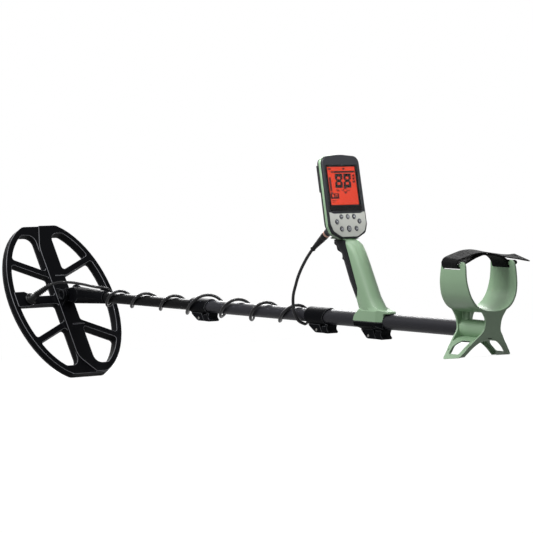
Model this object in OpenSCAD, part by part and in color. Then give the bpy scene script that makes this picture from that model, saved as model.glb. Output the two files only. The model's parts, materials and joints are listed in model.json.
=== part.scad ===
// Telescopic metal detector: search coil, three-stage shaft, grip with control pod, and armrest.
// In the shaft frame X runs along the shaft from the coil hinge to the armrest, Z is up and Y is right.
// The whole detector leans by stand_pitch, so that it rests on the coil's heel and the armrest's feet.

/* [Shaft tubes] */
// Outside diameter of the lower tube
lower_tube_d = 19; // [17:0.5:19.5]
// Outside diameter of the middle tube
middle_tube_d = 22; // [21.5:0.5:22.5]
// Outside diameter of the upper tube
upper_tube_d = 25; // [24.5:0.5:27]
// Radial running clearance between two sliding tubes
tube_fit = 0.05; // [0.02:0.01:0.1]
// Wall of the lower tube
lower_tube_wall = 1.5; // [1:0.1:2]
// Length of the lower tube
lower_tube_len = 440; // [400:5:470]
// Length of the middle tube
middle_tube_len = 440; // [400:5:470]
// From the coil hinge to the front of the lower cam lock
lower_set = 356; // [330:1:380]
// From the lower cam lock to the upper one
middle_set = 302; // [280:1:320]
// From the upper cam lock to the front of the grip's saddle
grip_set = 122; // [112:1:140]
// From the upper cam lock to the front of the armrest
armrest_set = 356; // [340:1:380]

/* [Cam locks] */
// Wall of a cam lock's collar outside its tube
collar_wall = 2.1; // [1.8:0.1:3]
// Diameter of a cam lock's pin
cam_pin_d = 4; // [3:0.2:5]
// Running clearance round a cam lock's pin
pin_fit = 0.1; // [0.05:0.01:0.1]
// Gap between a cam lock's two ears
ear_gap = 11; // [9:0.5:12]
// Thickness of one ear of a cam lock
ear_wall = 3.5; // [3:0.25:4]
// Width of a cam lever's thumb plate
lever_w = 22; // [19:1:24]

/* [Coil] */
// Length of the coil along its spine
coil_len = 305; // [290:1:320]
// Width of the coil
coil_w = 229; // [215:1:240]
// Depth of the coil's housing above its skid plate
coil_depth = 12.5; // [11.5:0.5:15]
// Thickness of the skid plate
skid_depth = 2.5; // [2:0.25:3.5]
// Height of the raised right-hand winding over the left-hand one
raised_step = 4; // [3:0.5:5]
// Width of the coil's outer ring
ring_w = 12; // [11:0.5:15]
// Width of the coil's spine
spine_w = 34; // [30:1:40]
// Width of a spoke
spoke_w = 11.5; // [10:0.5:14]
// Angle between the coil and the shaft as set
coil_angle = 58.5; // [40:0.5:80]
// Height of the tilt hinge above the coil's left half
hinge_h = 17.6; // [17:0.2:20]
// Diameter of the nylon hinge bolt
hinge_bolt_d = 8; // [6:0.5:10]
// Width of the shaft's tongue between the coil's ears
tongue_w = 14; // [12:0.5:16]
// Thickness of one rubber washer
washer_t = 1.5; // [1:0.25:2.5]
// Radial running clearance of the tongue round the hinge bolt
bolt_fit = 0.08; // [0.04:0.01:0.1]
// Thickness of one ear on the coil
coil_ear_t = 5; // [4:0.5:6]

/* [Control pod] */
// Greatest width of the pod
pod_w = 83; // [80:1:88]
// Height of the pod's face above the middle of the screen
pod_top = 51.2; // [48:0.2:54]
// Height of the pod's face below the middle of the screen
pod_drop = 86.5; // [84:0.5:90]
// Depth of the pod from its face to its back
pod_depth = 22; // [21.5:0.5:28]
// Depth of the front bezel
bezel_depth = 4; // [3.5:0.25:5]
// Depth of the coloured band behind the bezel
band_depth = 4.3; // [3.5:0.1:6]
// Wall of the pod's casing
pod_wall = 2.5; // [2:0.25:3]
// Lean of the pod's face towards the coil
pod_lean = 11.2; // [8:0.2:14]
// Height of the middle of the screen above the shaft
screen_z = 214; // [212:1:220]
// Width of the lit screen
screen_w = 60; // [56:1:63]
// Height of the lit screen
screen_h = 62; // [58:1:64]
// Diameter of a button
button_d = 7.6; // [7:0.2:8]
// Diameter of the main button
main_button_d = 9.6; // [8.4:0.2:10]
// Travel of a button
button_travel = 0.8; // [0.5:0.1:1]
// Radial gap round a button
button_gap = 0.4; // [0.3:0.05:0.6]

/* [Grip] */
// Length of the grip's section along the shaft
grip_l = 49; // [46:1:52]
// Width of the grip
grip_w = 32.6; // [30:0.2:34]
// Lean of the grip from the vertical towards the coil
grip_lean = 26.5; // [24:0.5:29]
// Width of the saddle over the upper tube
saddle_w = 34; // [34:1:38]
// Length of the saddle along the tube
saddle_l = 66; // [64:1:70]

/* [Armrest] */
// Length of the armrest along the shaft
armrest_l = 67; // [62:1:70]
// Width of the armrest's cuff
cuff_w = 112; // [106:1:118]
// Height of the cuff's top above the shaft
cuff_top = 106; // [102:1:112]
// Height of the cuff's inner bottom above the shaft
cuff_bottom = 30.5; // [28:0.5:32]
// Wall of the armrest's moulding
armrest_wall = 3.5; // [3:0.25:4]
// Width of the armrest at its waist
waist_w = 33.5; // [33:0.5:38]
// Spread of the feet
foot_w = 114; // [106:1:120]
// Depth of the feet below the shaft
foot_depth = 41.5; // [39:0.5:44]
// Outside diameter of the armrest's sleeve on the tube
sleeve_d = 30.6; // [30:0.1:33]
// Width of the strap
strap_w = 34; // [28:1:35]
// Thickness of the strap
strap_t = 2; // [1.5:0.25:2.5]

/* [Lead] */
// Diameter of the coil's lead
lead_d = 4.8; // [4:0.2:5.2]

/* [Hidden] */
$fn = 64;
hull_fn = 32;

black = "#1c1c1f";
charcoal = "#2c2d31";
sage = "#8ba686";
steel = "#b9bcc0";
rubber = "#151517";
copper = "#b4703c";

seam = 0.3;      // between two bodies that move past each other
slip = 0.02;     // between two pieces that are glued or pressed together
over = 1;        // how far a cutting shape runs past the face it cuts

// ---------- shared shapes ----------

function unit(v) = v / norm(v);
function reversed(pts) = [for (i = [len(pts) - 1:-1:0]) pts[i]];
function mirrored(pts) = [for (p = pts) [-p.x, p.y]];
// A curve that starts on the middle line, with its mirror image before it
function whole(pts) = concat(reversed(mirrored(pts)), [for (i = [1:len(pts) - 1]) pts[i]]);

// The arc that rounds the corner at p, between its neighbours before and after it
function corner(before, p, after, r, n) =
  let (u = unit(before - p), v = unit(after - p), half = acos(u * v) / 2)
  let (c = p + unit(u + v) * r / sin(half))
  let (a = p + u * r / tan(half) - c, b = p + v * r / tan(half) - c)
  let (start = atan2(a.y, a.x), turn = atan2(a.x * b.y - a.y * b.x, a * b))
  [for (i = [0:n]) c + r * [cos(start + turn * i / n), sin(start + turn * i / n)]];

// An outline through [x, y, radius] corners; a radius of 0 keeps the corner as it is
function rounded(corners, n = 5) =
  let (k = len(corners))
  [for (i = [0:k - 1])
    let (p = corners[(i + k - 1) % k], q = corners[i], s = corners[(i + 1) % k])
    if (q.z == 0) [q.x, q.y]
    else each corner([p.x, p.y], [q.x, q.y], [s.x, s.y], q.z, n)];

// A smooth curve through pts, with n steps between two neighbours
function spline(pts, n = 4) =
  let (last = len(pts) - 1)
  [for (i = [0:last - 1])
    let (a = pts[max(i - 1, 0)], b = pts[i], c = pts[i + 1], d = pts[min(i + 2, last)])
    for (j = [0:n - 1])
      let (t = j / n)
      0.5 * (2 * b + (c - a) * t + (2 * a - 5 * b + 4 * c - d) * t * t
        + (3 * b - 3 * c + d - a) * t * t * t),
   pts[last]];

// The same curve moved to its left by t
function shifted(pts, t) =
  let (last = len(pts) - 1)
  [for (i = [0:last])
    let (d = unit(pts[min(i + 1, last)] - pts[max(i - 1, 0)]))
    pts[i] + t * [-d.y, d.x]];

// A strip of thickness t along a curve
function strip(pts, t) = concat(shifted(pts, t / 2), reversed(shifted(pts, -t / 2)));

// A round bar along the shaft, from x0 to x1
module rod(x0, x1, r) {
  translate([x0, 0, 0]) rotate([0, 90, 0]) cylinder(h = x1 - x0, r = r);
}

// A cone along the shaft, from radius r0 at x0 to r1 at x1
module taper(x0, x1, r0, r1) {
  translate([x0, 0, 0]) rotate([0, 90, 0]) cylinder(h = x1 - x0, r1 = r0, r2 = r1);
}

// A pin of length w across the shaft at x and z
module cross_pin(x, z, w, r) {
  translate([x, w / 2, z]) rotate([90, 0, 0]) cylinder(h = w, r = r);
}

// A side profile in X and Z, extruded to width w across the shaft
module across(w) {
  translate([0, w / 2, 0]) rotate([90, 0, 0]) linear_extrude(height = w) children();
}

// A cross-section in Y and Z, extruded along the shaft from x0 to x1
module along(x0, x1) {
  translate([x0, 0, 0]) rotate([90, 0, 90]) linear_extrude(height = x1 - x0) children();
}

module both_sides() {
  children();
  mirror([0, 1, 0]) children();
}

// A flexible tube of radius r along a route, from its point number from to its point number to;
// it stops half a gap short of both, so that the next length of the same route starts a gap away.
module hose(route, from, to, r, gap = 0, sides = 8) {
  last = to - from;
  rings = [for (i = [from:to])
    let (t = unit(route[min(i + 1, len(route) - 1)] - route[max(i - 1, 0)]))
    let (u = unit(cross(t, [1, 0, 0])), v = cross(t, u))
    let (p = route[i] + t * gap / 2 * (i == from ? 1 : i == to ? -1 : 0))
    for (k = [0:sides - 1]) p + r * (cos(360 * k / sides) * u + sin(360 * k / sides) * v)];
  walls = [for (i = [0:last - 1], k = [0:sides - 1])
    let (a = i * sides + k, b = i * sides + (k + 1) % sides)
    each [[a, b, b + sides], [a, b + sides, a + sides]]];
  polyhedron(
    points = rings,
    faces = concat([[for (k = [sides - 1:-1:0]) k]], walls, [[for (k = [0:sides - 1]) last * sides + k]])
  );
}

// ---------- how the detector stands ----------

coil_half = coil_len / 2;
coil_base = -coil_depth - skid_depth;
heel = [
  coil_half * cos(coil_angle) + (coil_base - hinge_h) * sin(coil_angle),
  -coil_half * sin(coil_angle) + (coil_base - hinge_h) * cos(coil_angle)
];
foot_mid = 32.5;                     // from the armrest's front to the middle of its feet
foot = [lower_set + middle_set + armrest_set + foot_mid, -foot_depth];
stand_pitch = atan2(foot.y - heel.y, foot.x - heel.x);
stand_lift = heel.x * sin(stand_pitch) - heel.y * cos(stand_pitch);
toe_x = -coil_half * cos(coil_angle) + (coil_base - hinge_h) * sin(coil_angle);
toe_z = coil_half * sin(coil_angle) + (coil_base - hinge_h) * cos(coil_angle);
front_x = toe_x * cos(stand_pitch) + toe_z * sin(stand_pitch);
rear_x = (lower_set + middle_set + armrest_set + armrest_l) * cos(stand_pitch) + 30 * sin(stand_pitch);
stand_mid = (front_x + rear_x) / 2;

module stand() {
  translate([-stand_mid, 0, stand_lift]) rotate([0, stand_pitch, 0]) children();
}
// Everything below the surface that the detector stands on
module ground() {
  reach = 2 * foot.x;
  deep = 2 * foot_depth;
  rotate([0, -stand_pitch, 0]) translate([stand_mid - reach / 2, -reach / 2, -stand_lift - deep])
    cube([reach, reach, deep]);
}

// ---------- coil ----------

// The coil's own frame has X towards its heel, Y to the right and Z out of its upper face;
// the left half's upper face is at 0.
module at_coil() {
  rotate([0, coil_angle, 0]) translate([0, 0, -hinge_h]) children();
}

oval_a = coil_half * 1.057;          // the oval is a little longer than the coil and cut off at both ends
oval_b = coil_w / 2;
ring_in_a = oval_a - ring_w;
ring_in_b = oval_b - ring_w;
window_end = coil_half - 1.55 * ring_w;
spine_half = spine_w / 2;
spoke_splay = 23;                    // lean of a spoke from the coil's cross direction
spoke_root = 51;                     // from the coil's middle to a spoke's middle on the spine's edge
spoke_half = spoke_w / 2 / cos(spoke_splay);
bar_half = 8.5;                      // half the width of the left-hand bar that carries the lead
block_y = -78;                       // where the lead leaves the coil
skid_lip = 0.8;                      // how far the skid plate stands out round the housing
window_r = 5;

// The oval from the start angle to the end angle
function oval_arc(a, b, from, to, n) =
  [for (i = [0:n]) let (t = from + (to - from) * i / n) [a * cos(t), b * sin(t), 0]];

module coil_outline(in = 0) {
  a = oval_a - in;
  b = oval_b - in;
  flat = coil_half - in;
  end = acos(flat / a);
  side = oval_arc(a, b, end + 8, 172 - end, 22);
  polygon(rounded(concat(
    [[flat, b * sin(end), 18]], side, [[-flat, b * sin(end), 18], [-flat, -b * sin(end), 18]],
    [for (p = reversed(side)) [p.x, -p.y, 0]], [[flat, -b * sin(end), 18]]
  )));
}

// A spoke's edge, out by half its width on the side given, meets the ring's inner oval here
function spoke_x(y, out) = spoke_root + out * spoke_half + (y - spine_half) * tan(spoke_splay);
function spoke_meet(out) =
  let (k = tan(spoke_splay), c = spoke_x(0, out))
  let (qa = pow(k / ring_in_a, 2) + pow(1 / ring_in_b, 2), qb = 2 * c * k / pow(ring_in_a, 2))
  let (qc = pow(c / ring_in_a, 2) - 1)
  let (y = (-qb + sqrt(qb * qb - 4 * qa * qc)) / (2 * qa))
  [spoke_x(y, out), y];
function oval_angle(p) = atan2(p.y / ring_in_b, p.x / ring_in_a);

module end_window() {
  meet = spoke_meet(1);
  end_y = ring_in_b * sqrt(1 - pow(window_end / ring_in_a, 2));
  from = oval_angle([window_end, end_y]);
  to = oval_angle(meet);
  polygon(rounded(concat(
    [[spoke_x(spine_half, 1), spine_half, window_r], [window_end, spine_half, 15], [window_end, end_y, 9]],
    oval_arc(ring_in_a, ring_in_b, from + 7, to - 7, 4),
    [[meet.x, meet.y, window_r]]
  )));
}

// The window between the two spokes, or one half of it beside the bar from x_from on
module middle_window(x_from) {
  meet = spoke_meet(-1);
  to = oval_angle(meet);
  mid_angle = acos(x_from / ring_in_a);
  polygon(rounded(concat(
    [[x_from, spine_half, window_r], [spoke_x(spine_half, -1), spine_half, window_r], [meet.x, meet.y, window_r]],
    oval_arc(ring_in_a, ring_in_b, to + 7, mid_angle - 7, x_from < 0 ? 9 : 4),
    [[x_from, ring_in_b * sin(mid_angle), window_r]]
  )));
}
module open_window() {
  near = spoke_meet(-1);
  from = oval_angle(near);
  polygon(rounded(concat(
    [[-spoke_x(spine_half, -1), spine_half, window_r], [spoke_x(spine_half, -1), spine_half, window_r]],
    [[near.x, near.y, window_r]],
    oval_arc(ring_in_a, ring_in_b, from + 7, 173 - from, 10),
    [[-near.x, near.y, window_r]]
  )));
}

module windows() {
  for (m = [0, 1]) mirror([m, 0]) {
    end_window();
    mirror([0, 1]) end_window();
    mirror([0, 1]) middle_window(bar_half);
  }
  open_window();
}

// The raised D: the spine and the right half of the ring
module raised_outline() {
  intersection() {
    coil_outline(skid_lip + 0.6);
    polygon(rounded([
      [coil_half + 10, 24, 0], [coil_half - 34, -spine_half, 30], [-coil_half + 46, -spine_half, 60],
      [-coil_half - 10, 2, 0], [-coil_half - 10, coil_w, 0], [coil_half + 10, coil_w, 0]
    ]));
  }
}

winding_w = 6;
winding_h = 4.6;
winding_in = (ring_w - winding_w) / 2;
leg_y = -spine_half + winding_in;    // each D's straight leg lies under the far side of the spine
transmit_z = -coil_depth;
receive_z = transmit_z + winding_h + 0.6;

// One D-shaped loop, grown by grow all round
module loop_plan(grow = 0) {
  difference() {
    intersection() {
      coil_outline(winding_in - grow);
      translate([-coil_half, leg_y - grow]) square([coil_len, coil_w]);
    }
    intersection() {
      coil_outline(winding_in + winding_w + grow);
      translate([-coil_half, leg_y + winding_w + grow]) square([coil_len, coil_w]);
    }
  }
}

module coil_housing() {
  color(black) at_coil() difference() {
    union() {
      difference() {
        union() {
          translate([0, 0, -coil_depth]) linear_extrude(height = coil_depth) coil_outline(skid_lip);
          translate([0, 0, -over]) linear_extrude(height = raised_step + over) raised_outline();
        }
        translate([0, 0, -coil_depth - over]) linear_extrude(height = coil_depth + raised_step + 2 * over)
          windows();
      }
      lead_block();
      hinge_ears();
      spine_ribs();
    }
    // The two windings lie in grooves that open towards the skid plate
    translate([0, 0, transmit_z - over]) linear_extrude(height = winding_h + slip + over)
      mirror([0, 1]) loop_plan(slip);
    translate([0, 0, transmit_z - over]) linear_extrude(height = receive_z - transmit_z + winding_h + slip + over)
      loop_plan(slip);
    translate([0, 0, hinge_h]) cross_pin(0, 0, 2 * ear_out + 2 * over, hinge_bolt_d / 2);
    translate([0, block_y, block_h - 6]) cylinder(h = 7, r = boot_plug_r + slip);
  }
}

// A block on the left-hand bar, with a round neck for the lead's boot
block_h = 7;
boot_plug_r = 4.2;
module lead_block() {
  translate([0, 0, -over]) linear_extrude(height = 3.5 + over) polygon(rounded([
    [-17, -ring_in_b - 5, 2], [13, -ring_in_b - 5, 2], [13, block_y - 7, 2], [8, block_y + 9, 8],
    [-8, block_y + 9, 8], [-17, block_y - 7, 2]
  ]));
  translate([0, block_y, 0]) cylinder(h = block_h, r = 9.5);
}

// Two ears round the shaft's tongue
ear_r = 10.5;
tongue_half = tongue_w / 2;
ear_in = tongue_half + washer_t;
ear_out = ear_in + coil_ear_t;
module hinge_ears() {
  for (s = [-1, 1]) translate([0, s * (ear_in + coil_ear_t / 2), 0]) {
    across(coil_ear_t) polygon(rounded([
      [-ear_r - 12, 0.5, 0], [ear_r + 7, 0.5, 0], [ear_r + 0.5, hinge_h, 9],
      [ear_r - 3, hinge_h + 8, 6], [-ear_r + 3, hinge_h + 8, 6], [-ear_r - 0.5, hinge_h, 9]
    ]));
    translate([0, 0, hinge_h]) cross_pin(0, 0, coil_ear_t, ear_r);
  }
}

// Two low ribs across the spine where the right-hand spokes run into it
module spine_ribs() {
  for (x = [-spoke_root + 5, spoke_root + 3])
    translate([x - 1.2, -4, raised_step - over]) cube([2.4, spine_half + 10, over + 0.9]);
}

module coil_skid_plate() {
  color(charcoal) at_coil() translate([0, 0, coil_base]) difference() {
    linear_extrude(height = skid_depth) coil_outline();
    translate([0, 0, -over]) linear_extrude(height = skid_depth + 2 * over) windows();
  }
}

module transmit_winding() {
  color(copper) at_coil() translate([0, 0, transmit_z]) linear_extrude(height = winding_h)
    mirror([0, 1]) loop_plan();
}
module receive_winding() {
  color(copper) at_coil() translate([0, 0, receive_z]) linear_extrude(height = winding_h) loop_plan();
}

// A ribbed rubber boot turns the lead from the coil towards the hinge
boot_dir = [-0.34, 0.83, 0.44];
boot_len = 33;
boot_lift = 6.4;
module coil_lead_boot() {
  color(rubber) at_coil() translate([0, block_y, block_h]) {
    translate([0, 0, -6 + slip]) cylinder(h = 6 - slip, r = boot_plug_r);
    cylinder(h = boot_lift, r1 = 8.2, r2 = 6.6);
    translate([0, 0, boot_lift]) rotate([0, 0, atan2(boot_dir.y, boot_dir.x)]) rotate([0, acos(boot_dir.z), 0]) {
      sphere(r = 6.4);
      cylinder(h = boot_len, r1 = 5.6, r2 = 3.6);
      for (i = [0:6]) translate([0, 0, 7.6 + 3.3 * i]) cylinder(h = 1.7, r = 6.1 - 0.26 * i);
    }
  }
}

bolt_head_t = 5;
module hinge_bolt() {
  color(black) difference() {
    union() {
      translate([0, -ear_out, 0]) rotate([-90, 0, 0]) cylinder(h = 2 * ear_out + 9, r = hinge_bolt_d / 2);
      translate([0, -ear_out, 0]) rotate([90, 0, 0]) cylinder(h = bolt_head_t, r1 = 11, r2 = 9.4);
    }
    // Recess in the head for a tool
    translate([0, -ear_out - bolt_head_t - over, 0]) rotate([-90, 0, 0]) cylinder(h = over + 2.5, r = 7);
  }
}
module hinge_nut() {
  color(black) translate([0, ear_out, 0]) rotate([-90, 0, 0]) difference() {
    union() {
      cylinder(h = 3, r = 10);
      cylinder(h = 8, r = 8.5, $fn = 6);
    }
    translate([0, 0, -over]) cylinder(h = 8 + 2 * over, r = hinge_bolt_d / 2);
  }
}
// The washers are seated in the ears and leave the tongue a hair of play
washer_play = 0.1;
module hinge_washers() {
  w = washer_t - washer_play;
  color("#3b3b3f") for (s = [-1, 1]) translate([0, s * (ear_in - w / 2), 0]) difference() {
    cross_pin(0, 0, w, 9.5);
    cross_pin(0, 0, w + 2 * over, hinge_bolt_d / 2);
  }
}

// ---------- lower shaft ----------

lower_r = lower_tube_d / 2;
tip_seat = 60;                       // the lower tube is seated in the tip from here
tip_end = 112;
tip_nose_x = 22;
tip_nose_r = 15.6;
tip_end_r = lower_r + 1.8;
lower_tube_end = tip_seat + lower_tube_len;
plug_len = 14;
plug_lip = 2;

module shaft_tip() {
  color(black) difference() {
    union() {
      // A round tapering socket, cut to a flat tongue at the hinge
      intersection() {
        union() {
          taper(tip_nose_x, tip_end, tip_nose_r, tip_end_r);
          taper(5, tip_nose_x, 12.4, tip_nose_r);
          cross_pin(0, 0, tongue_w, 11);
          across(tongue_w) polygon([[0, -11], [6, -12.4], [6, 12.4], [0, 11]]);
        }
        translate([0, 0, -20]) linear_extrude(height = 40) polygon([
          [-12, -tongue_half], [24, -tongue_half], [48, -tip_nose_r], [tip_end + 1, -tip_nose_r],
          [tip_end + 1, tip_nose_r], [48, tip_nose_r], [24, tongue_half], [-12, tongue_half]
        ]);
      }
      // Fin that guides the lead over the hinge
      across(4) polygon(rounded([[8, 10, 0], [40, 10, 0], [32, 16, 2], [24, 19.5, 2], [16, 17.5, 2]]));
    }
    rod(tip_seat, tip_end + over, lower_r + slip);
    cross_pin(0, 0, tongue_w + 2 * over, hinge_bolt_d / 2 + bolt_fit);
  }
}

module tube(x0, x1, r, bore_r) {
  difference() {
    rod(x0, x1, r);
    rod(x0 - over, x1 + over, bore_r);
  }
}

lower_bore = lower_r - lower_tube_wall;
module lower_tube() {
  color(charcoal) tube(tip_seat, lower_tube_end, lower_r, lower_bore);
}
module lower_tube_plug() {
  color(black) {
    rod(lower_tube_end - plug_len, lower_tube_end + plug_lip, lower_bore - slip);
    rod(lower_tube_end, lower_tube_end + plug_lip, lower_r - seam);
  }
}

// ---------- cam locks ----------

// A cam lock is drawn on the shaft's axis with the front of its collar at X = 0.
collar_len = 48.6;
collar_top_len = 52;                 // the collar is longer over the top of the tube
pin_x = 26;                          // from the collar's front to the pin
pin_drop = 7.4;                      // from the collar's underside down to the pin
hub_r = 4.6;
ear_drop = 4.6;                      // from the pin down to the ears' lower edge
ear_back = 14.3;                     // from the pin back to the ears' rear edge
ear_rake = 7;                        // the ears are this much shorter at their top
plate_start = 15.8;                  // from the pin back to the lever's thumb plate
plate_end = 31.7;
lip = 2;                             // the collar's lip covers the end of its tube

function pin_z(tube_r) = -tube_r - collar_wall - pin_drop;

// Two ears, from z = top down to below the pin, cut along the front by a slope
module cam_ears(top, z, front, back) {
  low = z - ear_drop;
  w = ear_gap + 2 * ear_wall;
  difference() {
    across(w) polygon(rounded([
      [pin_x - front, top, 0], [pin_x - front + 1, top - 3, 0], [pin_x - 4.5, low + 1.2, 2],
      [pin_x - 1, low, 2], [pin_x + back, low, 1], [pin_x + back - ear_rake, top, 0]
    ]));
    translate([pin_x - 7.5, -ear_gap / 2, low - over]) cube([back + 10 + over, ear_gap, top - low + 2 * over]);
    cross_pin(pin_x, z, w + 2 * over, cam_pin_d / 2);
  }
}

module cam_collar(tube_r, inner_r) {
  r = tube_r + collar_wall;
  difference() {
    union() {
      intersection() {
        union() {
          taper(0, 3, r - 1, r);
          rod(3, collar_top_len, r);
        }
        across(2 * r + 2) polygon([
          [0, -r - 1], [collar_len, -r - 1], [collar_len - 4, -2], [collar_top_len, r - 1], [collar_top_len, r + 1],
          [0, r + 1]
        ]);
      }
      cam_ears(-tube_r - 0.6, pin_z(tube_r), 19.5, ear_back);
    }
    rod(lip, collar_top_len + over, tube_r + slip);
    rod(-over, lip + over, inner_r + seam);
  }
}

module cam_pin(z) {
  color(steel) cross_pin(pin_x, z, ear_gap + 2 * ear_wall, cam_pin_d / 2);
}

// The lever: a hub on the pin, an arm between the ears and a wide thumb plate behind them;
// it lies under z = cover as far as x = cover_end
module cam_lever(tube_r, z, start, end, cover, cover_end) {
  top = -tube_r + 0.8;
  low = z - ear_drop;
  x0 = pin_x + start;
  x1 = pin_x + end;
  arm_w = ear_gap - 2 * seam;
  color(black) difference() {
    union() {
      cross_pin(pin_x, z, arm_w, hub_r);
      across(arm_w) polygon([[pin_x, z - hub_r + 0.2], [pin_x, z + hub_r - 1], [x0 + 2, z + 5], [x0 + 2, low + 0.6]]);
      across(lever_w) polygon(rounded([
        [x0, top, 1], [x0, low + 0.4, 1], [x1 - 2, low, 1], [x1, low + 2.2, 1], [x1 - 5, z + 2.6, 5], [x1 - 1.5, top, 2]
      ]));
    }
    translate([0, -lever_w, cover]) cube([cover_end, 2 * lever_w, tube_r]);
    // The thumb plate is hollowed to lie round the tube
    rod(pin_x, x1 + over, tube_r + 0.8);
    cross_pin(pin_x, z, lever_w + over, cam_pin_d / 2 + pin_fit);
  }
}

module collar_lever(tube_r) {
  cam_lever(tube_r, pin_z(tube_r), plate_start, plate_end, -tube_r - collar_wall - seam, collar_len + 1);
}

// ---------- middle shaft ----------

middle_r = middle_tube_d / 2;
middle_bore = lower_r + tube_fit;
middle_x = lower_set + lip;
middle_tube_end = middle_x + middle_tube_len;
module middle_tube() {
  color(charcoal) tube(middle_x, middle_tube_end, middle_r, middle_bore);
}
// A ring that caps the inner end of the middle tube and lets the lower tube pass
module middle_tube_ring() {
  color(black) tube(middle_tube_end, middle_tube_end + plug_lip, middle_r - seam, middle_bore + seam);
}
module lower_cam_collar() {
  color(black) translate([lower_set, 0, 0]) cam_collar(middle_r, lower_r);
}
module lower_cam_pin() {
  translate([lower_set, 0, 0]) cam_pin(pin_z(middle_r));
}
module lower_cam_lever() {
  translate([lower_set, 0, 0]) collar_lever(middle_r);
}

// ---------- upper shaft ----------

upper_r = upper_tube_d / 2;
upper_bore = middle_r + tube_fit;
upper_set = lower_set + middle_set;
upper_x = upper_set + lip;
armrest_x = upper_set + armrest_set;
upper_tube_end = armrest_x + armrest_l - 12;
cap_t = 3;
module upper_tube() {
  color(charcoal) difference() {
    tube(upper_x, upper_tube_end, upper_r, upper_bore);
    // Hole for the armrest's screw
    translate([armrest_x + post_x, 0, 0]) cylinder(h = upper_tube_d, r = armrest_screw_r);
  }
}
module upper_tube_cap() {
  color(black) {
    rod(upper_tube_end - plug_len, upper_tube_end, upper_bore - slip);
    rod(upper_tube_end, upper_tube_end + cap_t, upper_r);
  }
}
module upper_cam_collar() {
  color(black) translate([upper_set, 0, 0]) cam_collar(upper_r, middle_r);
}
module upper_cam_pin() {
  translate([upper_set, 0, 0]) cam_pin(pin_z(upper_r));
}
module upper_cam_lever() {
  translate([upper_set, 0, 0]) collar_lever(upper_r);
}

// ---------- armrest ----------

post_x = 8.5;                        // from the armrest's front to its screw
post_r = 5.5;
armrest_screw_r = 2.5;
screw_head_r = 4.6;

// The cuff's inner curve, from the middle of its bottom up to the top
function cuff_inner() =
  let (w = cuff_w / 2 - armrest_wall, b = cuff_bottom)
  spline([[0, b], [w * 0.34, b + 1.8], [w * 0.66, b + 9], [w * 0.88, b + 23],
    [w * 0.98, b + 40], [w, b + 56], [w - 1.5, cuff_top]], 5);
// The outside of the waist, from the cuff down to the foot
function waist_curve() =
  let (w = waist_w / 2)
  spline([[cuff_w / 2 - 8, cuff_bottom + 24], [cuff_w / 2 - 17, cuff_bottom + 13], [w + 9.5, cuff_bottom], [w + 2, 20],
    [w, 10], [w + 2, 0], [w + 9.2, -8], [w + 19, -18], [foot_w / 2 - 12, -foot_depth + 14],
    [foot_w / 2 + 2, -foot_depth - 6]], 5);

// The height of the ground under the armrest, x from the armrest's front
function ground_z(x) = -foot_depth + (x - foot_mid) * tan(stand_pitch);

// The armrest seen from the side: its front and rear edges bow and the feet have round corners
module armrest_side(in) {
  l = armrest_l;
  d = foot_depth;
  low = in > 0 ? d : 0;
  front = spline([[12 + in, -d + 9], [8 + in, -20], [4 + in, -4], [in, 14], [in, 30], [2 + in, 55], [4 + in, 78],
    [7 + in, cuff_top + 3]], 4);
  rear = spline([[l - 16.5 - in, -d + 9], [l - 12.5 - in, -20], [l - 5 - in, -2], [l - 1.5 - in, 14],
    [l - 0.5 - in, 32], [l - 3 - in, 58], [l - 6.5 - in, 80], [l - 8.5 - in, 96], [l - 11 - in, cuff_top - 3],
    [l - 18 - in, cuff_top + 2.5]], 4);
  polygon(rounded(concat(
    [[14.5 + in, ground_z(14.5) - low, 4]],
    [for (p = front) [p.x, p.y, 0]],
    [for (p = reversed(rear)) [p.x, p.y, 0]],
    [[l - 20 - in, ground_z(l - 20) - low, 5]]
  )));
}

module cuff_wall() {
  inner = whole(cuff_inner());
  polygon(concat(inner, reversed(shifted(inner, -armrest_wall))));
}
// A leg's upper face, from the sleeve's underside down to the foot
function leg_curve() =
  let (f = foot_w / 2, d = foot_depth)
  spline([[6, -11], [18, -12], [27, -14.4], [f - 21.5, -d + 22.3], [f - 12, -d + 13.6], [f - 1.6, -d + 2.8],
    [f + 5, -d - 5]], 5);
module leg_wall() {
  leg = leg_curve();
  for (m = [0, 1]) mirror([m, 0]) polygon(concat(leg, reversed(shifted(leg, -armrest_wall))));
}
// The underside of the end plates, an arch from foot to foot
function arch_curve() =
  let (f = foot_w / 2, d = foot_depth)
  spline([[0, -14.8], [10, -15.6], [20, -18.6], [f - 25, -d + 15], [f - 16, -d + 6], [f - 9, -d - 3], [f - 6, -d - 9]], 4);
// The end plates fill the hourglass under the cuff and above the arch
module end_plate() {
  difference() {
    polygon(concat(waist_curve(), reversed(mirrored(waist_curve()))));
    polygon(concat(whole(cuff_inner()), [[0, cuff_top + 9]]));
    polygon(whole(arch_curve()));
  }
}

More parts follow.
